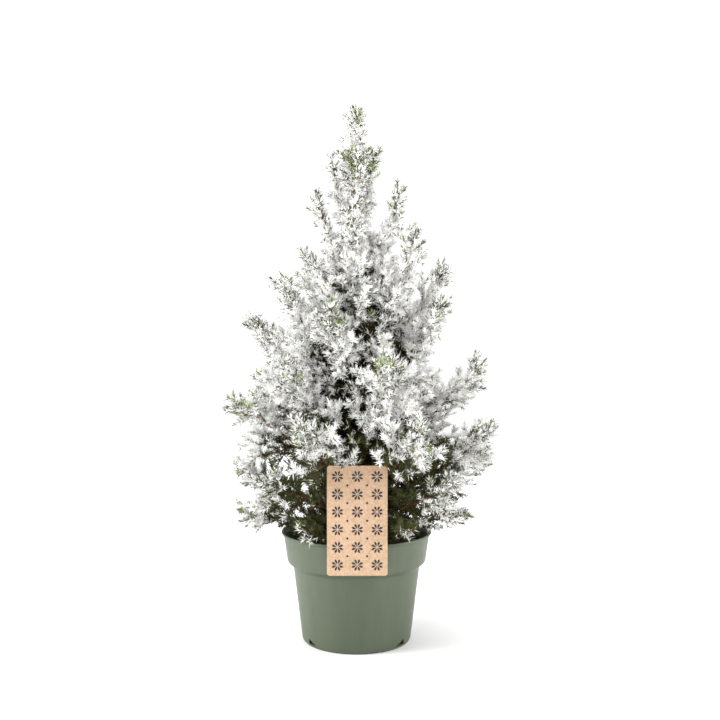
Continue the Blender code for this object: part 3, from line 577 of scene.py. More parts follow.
def plastic_material():
    """Satin sage green, with faint upright flow marks, a fine moulded grain and light scuffs."""
    material, tree, shader = new_material("pot_plastic", (0.16, 0.21, 0.14), 0.42)
    paint(tree, noise_node(tree, 34.0, 4.0, 0.6, (1.0, 1.0, 0.06)), (
        (0.25, (0.048, 0.065, 0.033)),
        (0.55, (0.058, 0.077, 0.039)),
        (0.80, (0.069, 0.091, 0.048)),
    ), shader, "Base Color")
    scuffs = noise_node(tree, 90.0, 4.0)
    worn = add_node(tree, "MapRange", {"To Min": 0.36, "To Max": 0.56}, {"Value": (scuffs, "Fac")})
    tree.links.new(worn.outputs["Result"], shader.inputs["Roughness"])
    grain = bump(tree, shader, noise_node(tree, 1800.0, 2.0), 0.25, 0.00006)
    bump(tree, shader, noise_node(tree, 16.0, 2.0, 0.5, (1.0, 1.0, 0.25)), 0.35, 0.0006, grain)
    shader.inputs["Specular IOR Level"].default_value = 0.7
    return material


def kraft_material():
    """Uncoated brown card: mottled pulp, pale and dark flecks, a faint tooth."""
    material, tree, shader = new_material("kraft_card", (0.82, 0.55, 0.35), 0.86)
    paint(tree, noise_node(tree, 420.0, 6.0, 0.7), (
        (0.30, (0.440, 0.272, 0.158)),
        (0.50, (0.560, 0.378, 0.246)),
        (0.72, (0.640, 0.468, 0.334)),
    ), shader, "Base Color")
    bump(tree, shader, noise_node(tree, 2600.0, 3.0), 0.5, 0.00008)
    return material


def bark_material():
    """Grey-brown scaly bark with rusty cracks."""
    material, tree, shader = new_material("bark", (0.19, 0.11, 0.065), 0.92)
    paint(tree, noise_node(tree, 210.0, 6.0, 0.65, (1.0, 1.0, 0.4)), (
        (0.30, (0.055, 0.028, 0.016)),
        (0.48, (0.150, 0.082, 0.048)),
        (0.62, (0.235, 0.150, 0.098)),
        (0.80, (0.330, 0.255, 0.200)),
    ), shader, "Base Color")
    bump(tree, shader, noise_node(tree, 700.0, 5.0, 0.7, (1.0, 1.0, 0.5)), 0.8, 0.0004)
    return material


def floor_material():
    """Pale paper, with painted shade round the pot: a little less bright there than far off."""
    material, tree, shader = new_material("studio_floor", (0.97, 0.97, 0.97), 0.75)
    place = add_node(tree, "TexCoord")
    # painted shade round the pot, by nearness to the middle
    shade_nearness = add_node(tree, "TexGradient", sources={"Vector": (place, "Object")})
    shade_nearness.gradient_type = "SPHERICAL"
    paint(tree, shade_nearness, FLOOR_SHADE_STOPS, shader, "Base Color")
    return material


# Pot

def rounded_profile(corners):
    """A line of (radius, height, rounding in mm) with each rounded corner as an arc of points."""
    points = []
    for k, (x, z, rounding) in enumerate(corners):
        here = Vector((x, z))
        if rounding == 0.0:
            points.append((x, z))
            continue
        before = Vector(corners[k - 1][:2]) - here
        after = Vector(corners[k + 1][:2]) - here
        half_angle = before.angle(after) / 2
        reach = min(rounding * MM / math.tan(half_angle), 0.48 * before.length, 0.48 * after.length)
        start = here + before.normalized() * reach
        end = here + after.normalized() * reach
        for step in range(CORNER_STEPS + 1):
            t = step / CORNER_STEPS
            points.append(tuple(start * (1 - t) ** 2 + here * 2 * t * (1 - t) + end * t ** 2))
    return points


def drain_cutters():
    """Solids for the drain openings: wedges in the wall's foot and slots in the foot ring."""
    places = []
    for azimuth in WEDGE_AZIMUTHS:
        tall_side = 1.0 if (azimuth > 180.0) == (math.cos(math.radians(azimuth)) > 0) else -1.0
        half = tall_side * WEDGE_WIDTH / 2
        top = (half * WEDGE_TOP_SHARE, WEDGE_BOTTOM + WEDGE_HEIGHT)
        places.append((azimuth, ((-half, WEDGE_BOTTOM), (half, WEDGE_BOTTOM), top)))
    half = SLOT_WIDTH / 2
    slot = ((-half, -SLOT_HEIGHT), (half, -SLOT_HEIGHT), (half, SLOT_HEIGHT), (-half, SLOT_HEIGHT))
    places += [(azimuth, slot) for azimuth in SLOT_AZIMUTHS]
    outward = Matrix.Translation(((CUT_OUTER + CUT_INNER) / 2, 0, 0))
    for azimuth, outline in places:
        turn = Matrix.Rotation(math.radians(azimuth), 4, "Z")
        yield plates("cutter", [outline], CUT_OUTER - CUT_INNER, turn @ outward @ FACING_OUT)


def inner_line(clearance):
    """The pot's inside from the floor to the collar's top, drawn in by a clearance."""
    inset = POT_WALL + clearance
    return [
        (BASE_RADIUS - inset - 1.2 * MM, POT_FLOOR + clearance),
        (BASE_RADIUS - inset + 0.2 * MM, POT_FLOOR + clearance + 2.5 * MM),
        (WALL_TOP_RADIUS - inset, WALL_TOP - 0.4 * MM),
        (COLLAR_FOOT_RADIUS - inset, COLLAR_FOOT + STEP_ROUND / 2),
        (COLLAR_TOP_RADIUS - inset, COLLAR_TOP),
    ]


def make_pot(material):
    lip_inner = RIM_RADIUS - LIP_WIDTH
    lip_foot = RIM_HEIGHT - LIP_HEIGHT
    bead = RIM_RADIUS - BEAD_INSET
    ring = BASE_RADIUS - BASE_EDGE / 2
    recess = ring - FOOT_RING_WIDTH
    corners = [
        (0.0, POT_FLOOR, 0.0),
        *((r, z, rounding) for (r, z), rounding in zip(inner_line(0.0), (1.0, 1.0, 3.0, 3.0, 2.0))),
        (lip_inner, lip_foot, 0.8),
        (lip_inner, RIM_HEIGHT, 0.6),
        (RIM_RADIUS, RIM_HEIGHT, 0.6),
        (RIM_RADIUS, lip_foot, 0.4),
        (bead - BEAD_DEPTH, lip_foot - 0.5 * MM, 0.4),
        (bead, lip_foot - 1.3 * MM, 0.5),
        (COLLAR_TOP_RADIUS + 0.5 * MM, COLLAR_TOP + 2.0 * MM, 1.0),
        (COLLAR_TOP_RADIUS, COLLAR_TOP, 3.0),
        (COLLAR_FOOT_RADIUS, COLLAR_FOOT, 3.0),
        (COLLAR_FOOT_RADIUS - STEP_ROUND / 2, COLLAR_FOOT - STEP_ROUND, 2.5),
        (WALL_TOP_RADIUS + STEP_ROUND / 2, WALL_TOP + STEP_ROUND, 2.5),
        (WALL_TOP_RADIUS, WALL_TOP, 3.0),
        (BASE_RADIUS, BASE_EDGE, 2.0),
        (ring, 0.0, 0.5),
        (recess, 0.0, 0.4),
        (recess - FOOT_RECESS, FOOT_RECESS, 0.4),
        (0.0, FOOT_RECESS, 0.0),
    ]
    profile = rounded_profile(corners)
    rings = np.array([level_ring(radius, height, POT_STEPS) for radius, height in profile[1:-1]])
    points, faces = skin(rings, UP * profile[0][1], UP * profile[-1][1])
    pot = joined_mesh("nursery_pot", points, faces, material, smooth=True)
    fix_normals(pot)
    for cutter in drain_cutters():
        cut = pot.modifiers.new("cut", "BOOLEAN")
        cut.operation = "DIFFERENCE"
        cut.solver = "EXACT"
        cut.object = cutter
        apply_modifiers(pot)
        bpy.data.objects.remove(cutter)
    sharpen(pot, 32.0)
    place_piece(pot, "pot", "pot")


# Soil

def soil_height(x, y):
    """The lumpy surface of the compost."""
    point = Vector((x, y, 0.0))
    aside = point.length / (RIM_RADIUS - LIP_WIDTH)
    lump = noise.noise(point * 70.0) + 0.55 * noise.noise(point * 210.0) + 0.3 * noise.noise(point * 620.0)
    return SOIL_TOP - SOIL_EDGE_DROP * aside ** 4 + SOIL_LUMP * (lump - 0.7)


def laid_on_soil(points):
    for point in points:
        point[2] = soil_height(point[0], point[1])
    return points


def make_soil(dry_material):
    wall = inner_line(GAP)
    edge_radius = np.interp(SOIL_TOP - SOIL_EDGE_DROP, [z for r, z in wall], [r for r, z in wall])
    radii = edge_radius * (np.arange(1, SOIL_RINGS + 1) / SOIL_RINGS) ** 0.8
    rings = [laid_on_soil(level_ring(radius, 0.0, SOIL_SIDES)) for radius in radii]
    rings[-1][:, 2] = SOIL_TOP - 1.6 * SOIL_EDGE_DROP
    rings += [level_ring(r, z, SOIL_SIDES) for r, z in reversed(wall) if z < SOIL_TOP - 2 * SOIL_EDGE_DROP]
    mesh = skin(np.array(rings), UP * soil_height(0.0, 0.0), UP * wall[0][1])
    make_piece("compost", mesh, mottled("compost_dark"), "soil", "soil", rounded=True)
    draw = np.random.default_rng(SEED + 1)
    make_crumbs(draw, edge_radius, mottled("compost_crumb"))
    make_fibres(draw, edge_radius, mottled("coir_fibre"))
    make_fallen_needles(draw, edge_radius, dry_material)


def scattered(draw, count, edge_radius):
    """Places on the soil, thinner at the trunk."""
    radius = edge_radius * np.sqrt(draw.uniform(0.04, 0.985, count))
    turn = draw.uniform(0.0, math.tau, count)
    return laid_on_soil(np.column_stack((radius * np.cos(turn), radius * np.sin(turn), np.zeros(count))))


def make_crumbs(draw, edge_radius, material):
    """Small broken lumps, half sunk in the surface."""
    corners, faces = ball(1)
    places = scattered(draw, CRUMBS, edge_radius - 3.0 * MM)
    sizes = draw.uniform(0.8, 2.3, CRUMBS) * MM * draw.uniform(0.6, 1.0, CRUMBS)
    stretch = draw.uniform(0.6, 1.3, (CRUMBS, 1, 3))
    jitter = draw.uniform(0.75, 1.2, (CRUMBS, len(corners), 1))
    points = corners * stretch * jitter * sizes[:, None, None] + places[:, None]
    make_piece("compost_crumbs", copied(points, faces), material, "soil", "soil")


def make_fibres(draw, edge_radius, material):
    """Bent strands of coir and root."""
    places = scattered(draw, FIBRES, edge_radius - 9.0 * MM)
    turn = draw.uniform(0.0, math.tau, FIBRES)
    length = draw.uniform(4.0, 13.0, FIBRES) * MM
    along = np.column_stack((np.cos(turn), np.sin(turn), np.zeros(FIBRES)))
    sideways = np.column_stack((-np.sin(turn), np.cos(turn), np.zeros(FIBRES)))
    shares = np.linspace(-0.5, 0.5, 6)
    bow = draw.uniform(-0.35, 0.35, FIBRES) * length
    paths = places[:, None] + along[:, None] * (length[:, None] * shares)[:, :, None]
    paths += sideways[:, None] * (bow[:, None] * (4 * shares ** 2 - 0.5))[:, :, None]
    aside = np.hypot(paths[:, :, 0], paths[:, :, 1])
    paths[:, :, :2] *= np.minimum(1.0, (edge_radius - 1.0 * MM) / aside)[:, :, None]
    for path in paths:
        laid_on_soil(path)
    lift = draw.uniform(0.0, 1.6, FIBRES) * MM
    paths[:, :, 2] += 0.25 * MM + lift[:, None] * (1 - (2 * shares) ** 2)
    radii = np.outer(draw.uniform(0.14, 0.34, FIBRES) * MM, np.array((0.5, 1.0, 1.1, 1.0, 0.9, 0.4)))
    across = np.repeat(sideways[:, None], 6, axis=1)
    points, faces = tubes(paths, radii, across, np.broadcast_to(UP, paths.shape), 4)
    make_piece("compost_fibres", (points, faces[:, ::-1]), material, "soil", "soil")


def make_fallen_needles(draw, edge_radius, material):
    count = FALLEN_NEEDLES
    places = scattered(draw, count, edge_radius - 7.0 * MM) + 0.6 * MM * UP
    turn = draw.uniform(0.0, math.tau, count)
    tilt = draw.uniform(-0.12, 0.22, count)
    direction = unit(np.column_stack((np.cos(turn), np.sin(turn), tilt)))
    length = draw.uniform(5.0, 9.0, count) * MM
    facing = np.broadcast_to(UP, direction.shape)
    mesh = needle_shapes(places, direction, length, np.full(count, 0.9 * MM), facing)
    make_piece("fallen_needles", mesh, material, "soil", "soil")


# Label

def arc(x, y, radius, start, end, steps):
    """Points on an arc about a middle, from one angle in degrees to another."""
    turns = np.radians(np.linspace(start, end, steps + 1))
    return [(x + radius * math.cos(turn), y + radius * math.sin(turn)) for turn in turns]


def rounded_rectangle(width, height, corner):
    right = width / 2 - corner
    top = height - corner
    centres = ((right, corner, -90.0), (right, top, 0.0), (-right, top, 90.0), (-right, corner, 180.0))
    return [point for x, y, start in centres for point in arc(x, y, corner, start, start + 90.0, 10)]


def strip(line, thickness):
    """The outline of a band of even thickness along a line."""
    line = np.array(line)
    slope = unit(np.gradient(line, axis=0))
    square = np.column_stack((-slope[:, 1], slope[:, 0])) * thickness / 2
    return np.concatenate((line + square, (line - square)[::-1]))


def make_label(card_material, ink_material):
    width = LABEL_HIGH.x - LABEL_LOW.x
    height = LABEL_HIGH.z - LABEL_LOW.z
    centre_x = (LABEL_HIGH.x + LABEL_LOW.x) / 2
    front = LABEL_LOW.y
    card_side = front + CARD_THICKNESS / 2
    upright = Matrix.Rotation(math.radians(90.0), 4, "X")
    place = Matrix.Translation((centre_x, card_side, LABEL_LOW.z)) @ upright
    outline = rounded_rectangle(width, height, CARD_CORNER)
    card = plates("kraft_label", [outline], CARD_THICKNESS, place, card_material)
    edge = card.modifiers.new("edge", "BEVEL")
    edge.width = CARD_EDGE_ROUND
    edge.segments = 2
    edge.limit_method = "ANGLE"
    edge.angle_limit = math.radians(50.0)
    apply_modifiers(card)
    sharpen(card, 40.0)
    place_piece(card, "label", "label")
    top = RIM_HEIGHT + GAP + CLIP_THICKNESS / 2
    tongue = -(RIM_RADIUS - CLIP_WALL_CLEARANCE - CLIP_THICKNESS / 2)
    bend = arc(tongue - CLIP_BEND, top - CLIP_BEND, CLIP_BEND, 90.0, 0.0, 6)
    line = [(card_side, top), *bend, (tongue, RIM_HEIGHT + GAP - CLIP_DEPTH)]
    across = Matrix.Translation((centre_x, 0, 0)) @ FACING_OUT
    clip = plates("label_clip", [strip(line, CLIP_THICKNESS)], CLIP_WIDTH, across, card_material)
    place_piece(clip, "label", "label")
    stars = star_outlines(width, height)
    for side, face_y in (("front", front), ("back", front + CARD_THICKNESS)):
        place = Matrix.Translation((centre_x, face_y, LABEL_LOW.z)) @ upright
        ink = plates(f"label_print_{side}", stars, INK_THICKNESS, place, ink_material)
        place_piece(ink, "label", "label")


def petal(x, y, turn):
    """A pointed leaf shape from near a star's heart to its edge."""
    cosine = math.cos(turn)
    sine = math.sin(turn)
    outline = []
    for along, aside in PETAL:
        out = between((STAR_HEART, STAR_RADIUS), along)
        side = aside * PETAL_WIDTH
        outline.append((x + out * cosine - side * sine, y + out * sine + side * cosine))
    return outline


def star_outlines(width, height):
    """The traditional eight-petalled star in a plain grid, with a small diamond in each gap."""
    step_x = (width - 2 * STAR_MARGIN_X) / (STAR_COLUMNS - 1)
    step_y = (height - 2 * STAR_MARGIN_Z) / (STAR_ROWS - 1)
    shapes = []
    for column, row in itertools.product(range(STAR_COLUMNS), range(STAR_ROWS)):
        x = STAR_MARGIN_X - width / 2 + column * step_x
        y = STAR_MARGIN_Z + row * step_y
        shapes += [petal(x, y, math.tau * (k + 0.5) / 8) for k in range(8)]
        if column < STAR_COLUMNS - 1 and row < STAR_ROWS - 1:
            shapes.append(arc(x + step_x / 2, y + step_y / 2, DIAMOND_SIZE, 0.0, 270.0, 3))
    return shapes


# Trunk and limbs

def trunk_axis(heights):
    """The trunk's middle at heights: a gentle sweep that ends over the pot's middle."""
    heights = np.asarray(heights, float)
    share = (heights - SOIL_TOP) / (TRUNK_TOP - SOIL_TOP)
    x = TRUNK_SWEEP_X * np.sin(math.tau * share) * (1.0 - 0.5 * share)
    y = TRUNK_SWEEP_Y * np.sin(math.pi * share)
    return np.stack((x, y, heights), axis=-1)


def flare(heights):
    return np.exp(-np.maximum(heights - SOIL_TOP, 0.0) / FLARE_HEIGHT)


def trunk_radius(heights):
    share = np.clip((heights - SOIL_TOP) / (TRUNK_TOP - SOIL_TOP), 0.0, 1.0)
    taper = between((TRUNK_TIP_RADIUS, TRUNK_FOOT_RADIUS), (1.0 - share) ** 0.9)
    return taper + FLARE * flare(heights)


class Limb:
    """One limb's curve from the trunk to its tip, with the bough's and the mass's shares of it."""

    def __init__(self, name, foot, tip, sag, twig_length):
        self.name = name
        self.foot = foot
        self.tip = tip
        self.twig_length = twig_length
        self.scale = (twig_length / FULL_TWIG) ** TIER_SLIMMING
        self.length = np.linalg.norm(tip - foot)
        self.bend = (foot + tip) / 2 - UP * sag * self.length
        self.has_bough = False
        self.leaves_trunk = 0.0
        self.stem_start = 0.0

    def leave_trunk(self, has_bough):
        """Sets where the limb clears the trunk and where the mass's own stem starts."""
        shares = np.arange(0.0, 0.5, CLEAR_STEP)
        points = self.point(shares)
        aside = np.linalg.norm((points - trunk_axis(points[:, 2]))[:, :2], axis=1)
        radius = BOUGH_RADIUS if has_bough else STEM_RADIUS
        needed = trunk_radius(points[:, 2]) + GAP + radius * np.abs(self.heading(shares)[:, 2])
        self.has_bough = has_bough
        self.leaves_trunk = shares[np.argmax(aside >= needed)]
        self.stem_start = BOUGH_SHARE + GAP / self.length if has_bough else self.leaves_trunk

    def point(self, share):
        share = np.asarray(share, float)[..., None]
        rest = 1.0 - share
        return self.foot * rest * rest + self.bend * 2 * rest * share + self.tip * share * share

    def heading(self, share):
        share = np.asarray(share, float)[..., None]
        return unit((self.bend - self.foot) * 2 * (1.0 - share) + (self.tip - self.bend) * 2 * share)

    def stem_share(self, along):
        return between((self.stem_start, 1.0), np.asarray(along, float))

    def stem_length(self):
        return self.length * (1.0 - self.stem_start)


def all_limbs():
    limbs = []
    for tier, rise, twig_length, has_bough, places in TIERS:
        for k, (azimuth, reach, top) in enumerate(places, 1):
            turn = math.radians(azimuth)
            out = reach * MM
            tip = np.array((out * math.cos(turn), out * math.sin(turn), top * MM))
            foot = trunk_axis(top * MM - out * math.tan(math.radians(rise)))
            limb = Limb(f"{tier}_{k}", foot, tip, LIMB_SAG, twig_length * MM)
            limb.leave_trunk(has_bough)
            limbs.append(limb)
    foot = trunk_axis(TRUNK_TOP) + UP * GAP
    limbs.append(Limb("leader", foot, np.array((-1.0 * MM, 0.0, LEADER_TOP)), 0.0, LEADER_TWIG))
    return limbs


def crown_radius(heights):
    return np.interp(heights, *CROWN_OUTLINE.T, 0.0, 0.0)


def off_label(points, margin):
    """Whether points lie beside, above or behind the card, by a margin."""
    x, y, z = points.T
    beside = (x < LABEL_LOW.x - margin) | (x > LABEL_HIGH.x + margin)
    return beside | (z > LABEL_HIGH.z + margin) | (y > LABEL_LOW.y + CARD_THICKNESS + margin)


def in_box(points, margin):
    return ((points > CAD_LOW + margin) & (points < CAD_HIGH - margin)).all(axis=1)


def nearest(points, starts, steps):
    """The nearest place on each path to each point, and its distance squared."""
    offset = points[:, None, None] - starts
    share = np.clip((offset * steps).sum(-1) / (steps * steps).sum(-1), 0.0, 1.0)
    gap = offset - steps * share[..., None]
    squared = (gap * gap).sum(-1)
    best = squared.argmin(-1)
    rows = np.arange(len(points))[:, None]
    columns = np.arange(len(starts))[None]
    return points[:, None] - gap[rows, columns, best], squared[rows, columns, best]


class Room:
    """The room of each mass: the points that lie nearer to its own stem than to any other."""

    def __init__(self, limbs):
        shares = np.linspace(0.0, 1.0, PATH_STEPS + 1)
        stems = np.array([limb.point(limb.stem_share(shares)) for limb in limbs])
        boughs = np.array([limb.point(BOUGH_SHARE * shares) for limb in limbs if limb.has_bough])
        self.stems = (stems[:, :-1], np.diff(stems, axis=1))
        self.boughs = (boughs[:, :-1], np.diff(boughs, axis=1))

    def in_own_part(self, points, owners, overlap):
        result = np.empty(len(points), bool)
        for start in range(0, len(points), BATCH):
            part = slice(start, start + BATCH)
            places, squared = nearest(points[part], *self.stems)
            rows = np.arange(len(places))
            own = owners[part]
            own_squared = squared[rows, own][:, None]
            apart = np.linalg.norm(places - places[rows, own][:, None], axis=2)
            result[part] = (squared - own_squared >= -2.0 * apart * overlap).all(axis=1)
        return result

    def clear(self, points, radius):
        """Whether points are clear of the trunk, the boughs, the pot and the label."""
        x, y, z = points.T
        aside = np.linalg.norm((points - trunk_axis(z))[:, :2], axis=1)
        free = (aside >= trunk_radius(z) + radius) | (z > TRUNK_TOP + radius)
        free &= (nearest(points, *self.boughs)[1] >= (BOUGH_RADIUS + radius) ** 2).all(axis=1)
        over_soil = (np.hypot(x, y) < RIM_RADIUS - WALL_CLEARANCE) & (z > SOIL_TOP + RIM_CLEARANCE)
        free &= over_soil | (z >= RIM_HEIGHT + RIM_CLEARANCE)
        return free & off_label(points, LABEL_CLEARANCE + radius)

    def holds(self, points, owners, overlap):
        inside = np.hypot(points[:, 0], points[:, 1]) <= crown_radius(points[:, 2])
        inside &= in_box(points, BOX_MARGIN) & self.clear(points, SPRIG_RADIUS)
        inside[inside] = self.in_own_part(points[inside], owners[inside], overlap)
        return inside

    def fitted(self, starts, directions, lengths, owners, overlap):
        """Of a few lengths, the longest at which a shoot stays in its room; nothing where none does."""
        best = np.zeros(len(lengths))
        for share in reversed(LENGTH_TRIES):
            tried = lengths * share
            fits = np.ones(len(lengths), bool)
            for place in (0.55, 1.0):
                points = starts + directions * (tried * place)[:, None]
                fits[fits] = self.holds(points[fits], owners[fits], overlap)
            best[fits] = tried[fits]
        return best


# Growth

SHOOT = np.dtype(
    [(name, "f8", 3) for name in ("start", "run", "curl")]
    + [(name, "f8") for name in ("length", "scale", "foot_radius", "tip_radius", "bare")]
    + [(name, "i4") for name in ("owner", "level")]
)


def point_on(shoots, t):
    t = np.asarray(t, float)[..., None]
    return shoots["start"] + shoots["run"] * t + shoots["curl"] * t * t


def heading_on(shoots, t):
    t = np.asarray(t, float)[..., None]
    return unit(shoots["run"] + 2.0 * shoots["curl"] * t)


def side_direction(heading, roll):
    """Directions square to headings, turned about them by a roll from straight up."""
    roll = np.asarray(roll)[..., None]
    upward = np.where(np.abs(heading[:, 2:]) < 0.98, UP, BACK)
    across = unit(np.cross(heading, upward))
    above = unit(np.cross(across, heading))
    return above * np.cos(roll) + across * np.sin(roll)


def turned_aside(heading, angle, roll):
    return heading * np.cos(angle)[:, None] + side_direction(heading, roll) * np.sin(angle)[:, None]


def numbered(counts):
    """For counts of things on bearers: each thing's bearer, and its number there."""
    bearer = np.repeat(np.arange(len(counts)), counts)
    return bearer, np.arange(len(bearer)) - np.repeat(np.cumsum(counts) - counts, counts)


def limb_stems(limbs):
    """Each mass's own stem as a shoot: the rest of its limb's curve."""
    stems = np.zeros(len(limbs), SHOOT)
    for k, limb in enumerate(limbs):
        rest = 1.0 - limb.stem_start
        bent = limb.foot - 2.0 * limb.bend + limb.tip
        slope = 2.0 * (limb.bend - limb.foot) + 2.0 * bent * limb.stem_start
        stems[k] = (
            limb.point(limb.stem_start), slope * rest, bent * rest ** 2, limb.stem_length(), limb.scale,
            STEM_RADIUS, STEM_TIP_RADIUS, 0.06, k, 0,
        )
    stems[-1]["scale"] = LEADER_SCALE
    stems[-1]["foot_radius"] = TRUNK_TIP_RADIUS
    stems[-1]["bare"] = 0.0
    return stems


def shoots_from(starts, directions, lengths, scales, owners, level, foot_radius, bare):
    shoots = np.zeros(len(starts), SHOOT)
    curl = UP * (lengths * UPTURN)[:, None]
    shoots["start"] = starts
    shoots["curl"] = curl
    shoots["run"] = directions * lengths[:, None] - curl
    shoots["length"] = lengths
    shoots["scale"] = scales
    shoots["foot_radius"] = foot_radius
    shoots["tip_radius"] = SPRIG_TIP_RADIUS
    shoots["bare"] = bare
    shoots["owner"] = owners
    shoots["level"] = level
    return shoots[lengths > (LEAST_SPRIG if level > 1 else 0.0)]


def grown_twigs(limbs, room):
    """The source's twigs with its own draws, and one more between each two."""
    rows = []
    for owner, limb in enumerate(limbs):
        twigs = max(LEAST_TWIGS, round(limb.stem_length() / TWIG_SPACING))
        step = (TWIG_LAST - TWIG_FIRST) / (twigs - 1)
        slimmed = (limb.twig_length / FULL_TWIG) ** TWIG_SLIMMING
        for shift, name, slimming in ((0.0, limb.name, slimmed), (0.5, f"{limb.name}_between", limb.scale)):
            draw = random.Random(f"{SEED}_{name}")
            roll = draw.uniform(0.0, math.tau)
            for k in range(twigs):
                along = TWIG_FIRST + step * (k + shift)
                roll += GOLDEN_ANGLE + draw.uniform(-ROLL_SPREAD, ROLL_SPREAD)
                full = limb.twig_length * (1.0 - TWIG_SHORTENING * along)
                full *= draw.uniform(1.0 - TWIG_LENGTH_SPREAD, 1.0 + TWIG_LENGTH_SPREAD)
                draw.uniform(0.0, math.tau)  # the source turns its sprays by this draw
                most = TWIG_TAPER * (1.0 - along) * limb.stem_length() + TWIG_AT_TIP
                rows.append((owner, along, roll, min(full * slimming, most)))
    owners, along, roll, lengths = np.array(rows).T
    owners = owners.astype(int)
    bearers = [limbs[owner] for owner in owners]
    shares = [limb.stem_share(place) for limb, place in zip(bearers, along)]
    starts = np.array([limb.point(share) for limb, share in zip(bearers, shares)])
    headings = np.array([limb.heading(share) for limb, share in zip(bearers, shares)])
    angles = between(TWIG_ANGLES, along) * (1.0 - UPRIGHT_NARROWING * headings[:, 2] ** 2)
    directions = turned_aside(headings, angles, roll)
    lengths = room.fitted(starts, directions, lengths, owners, TWIG_OVERLAP)
    scales = np.array([limb.scale for limb in bearers])
    return shoots_from(starts, directions, lengths, scales, owners, 1, TWIG_RADIUS, 0.04)


def grown_sprigs(parents, room, draw, level, spacing, longest, first, last):
    """Side shoots along shoots, each turned a golden angle on from the last and drawn to the light."""
    spacing = spacing * between((CLOSEST_SHARE, 1.0), parents["scale"])
    counts = np.maximum(1, np.round(parents["length"] * (last - first) / spacing)).astype(int)
    parent, step = numbered(counts)
    t = between((first, last), (step + 0.5) / counts[parent])
    spread = draw.uniform(-ROLL_SPREAD, ROLL_SPREAD, len(parent))
    roll = draw.uniform(0.0, math.tau, len(parents))[parent] + GOLDEN_ANGLE * step + spread
    bearing = parents[parent]
    starts = point_on(bearing, t)
    directions = turned_aside(heading_on(bearing, t), between(SPRIG_ANGLES, t), roll)
    outward = unit(starts * (RIGHT + BACK))
    directions = unit(directions + LIGHT_PULL * (0.6 * UP + 0.4 * outward))
    lengths = longest * bearing["scale"] * (1.0 - SPRIG_SHORTENING * t)
    lengths *= 1.0 + OUTWARD_FAVOUR * (directions * outward).sum(axis=1)
    lengths *= draw.uniform(1.0 - SPRIG_LENGTH_SPREAD, 1.0 + SPRIG_LENGTH_SPREAD, len(t))
    lengths = np.minimum(lengths, TIP_TAPER * (1.0 - t) * bearing["length"] + LEAST_SPRIG)
    owners = bearing["owner"]
    lengths = room.fitted(starts, directions, lengths, owners, SPRIG_OVERLAP)
    return shoots_from(starts, directions, lengths, bearing["scale"], owners, level, SPRIG_RADIUS, 0.1)


def trunk_twigs(room):
    """Short twigs in a spiral up the trunk, each in the room of the mass that it grows into."""
    draw = np.random.default_rng(SEED + 5)
    number = np.arange(TRUNK_TWIGS)
    ends = (RIM_HEIGHT + TRUNK_TWIG_FROM, TRUNK_TOP - TRUNK_TWIG_TO)
    heights = between(ends, (number + 0.5) / TRUNK_TWIGS)
    turns = GOLDEN_ANGLE * number + draw.uniform(-0.3, 0.3, TRUNK_TWIGS)
    rise = TRUNK_TWIG_RISE + draw.uniform(-0.15, 0.25, TRUNK_TWIGS)
    out = np.column_stack((np.cos(turns), np.sin(turns), np.zeros(TRUNK_TWIGS)))
    directions = out * np.cos(rise)[:, None] + UP * np.sin(rise)[:, None]
    starts = trunk_axis(heights) + out * (trunk_radius(heights) + 1.2 * SPRIG_RADIUS + 0.1 * MM)[:, None]
    share = np.interp(heights, *TRUNK_TWIG_SHARES)
    lengths = np.clip(crown_radius(heights) * share, LEAST_TRUNK_TWIG, TRUNK_TWIG_LENGTH)
    lengths *= draw.uniform(0.7, 1.1, TRUNK_TWIGS)
    tips = starts + directions * lengths[:, None] * 0.8
    owners = nearest(tips, *room.stems)[1].argmin(axis=1)
    lengths = room.fitted(starts, directions, lengths, owners, TRUNK_TWIG_OVERLAP)
    scales = np.interp(heights, *TRUNK_TWIG_SCALES)
    return shoots_from(starts, directions, lengths, scales, owners, 1, TWIG_RADIUS, 0.05)


def grown_crown(limbs):
    room = Room(limbs)
    draw = np.random.default_rng(SEED)
    stems = limb_stems(limbs)
    twigs = np.concatenate((grown_twigs(limbs, room), trunk_twigs(room)))
    bearing = np.concatenate((stems, stems[-1:]))  # the leader bears twice as many
    sprigs = np.concatenate((
        grown_sprigs(bearing, room, draw, 2, *STEM_SPRIGS),
        grown_sprigs(twigs, room, draw, 2, *TWIG_SPRIGS),
    ))
    bearers = sprigs[sprigs["length"] > LEAST_BEARER]
    return np.concatenate((stems, twigs, sprigs, grown_sprigs(bearers, room, draw, 3, *SPRIGLETS)))


# Sky and snow

class Field:
    """Values in the cells of a grid, read between the cells' middles."""

    def __init__(self, low, cell, values):
        self.low = low
        self.cell = cell
        self.values = values

    def at(self, points):
        place = (points - self.low) / self.cell - 0.5
        place = np.clip(place, 0.0, np.array(self.values.shape) - 1.001)
        base = place.astype(int)
        share = place - base
        total = np.zeros(len(points))
        for corner in itertools.product((0, 1), repeat=3):
            weight = np.where(corner, share, 1.0 - share).prod(axis=1)
            total += weight * self.values[tuple((base + corner).T)]
        return total


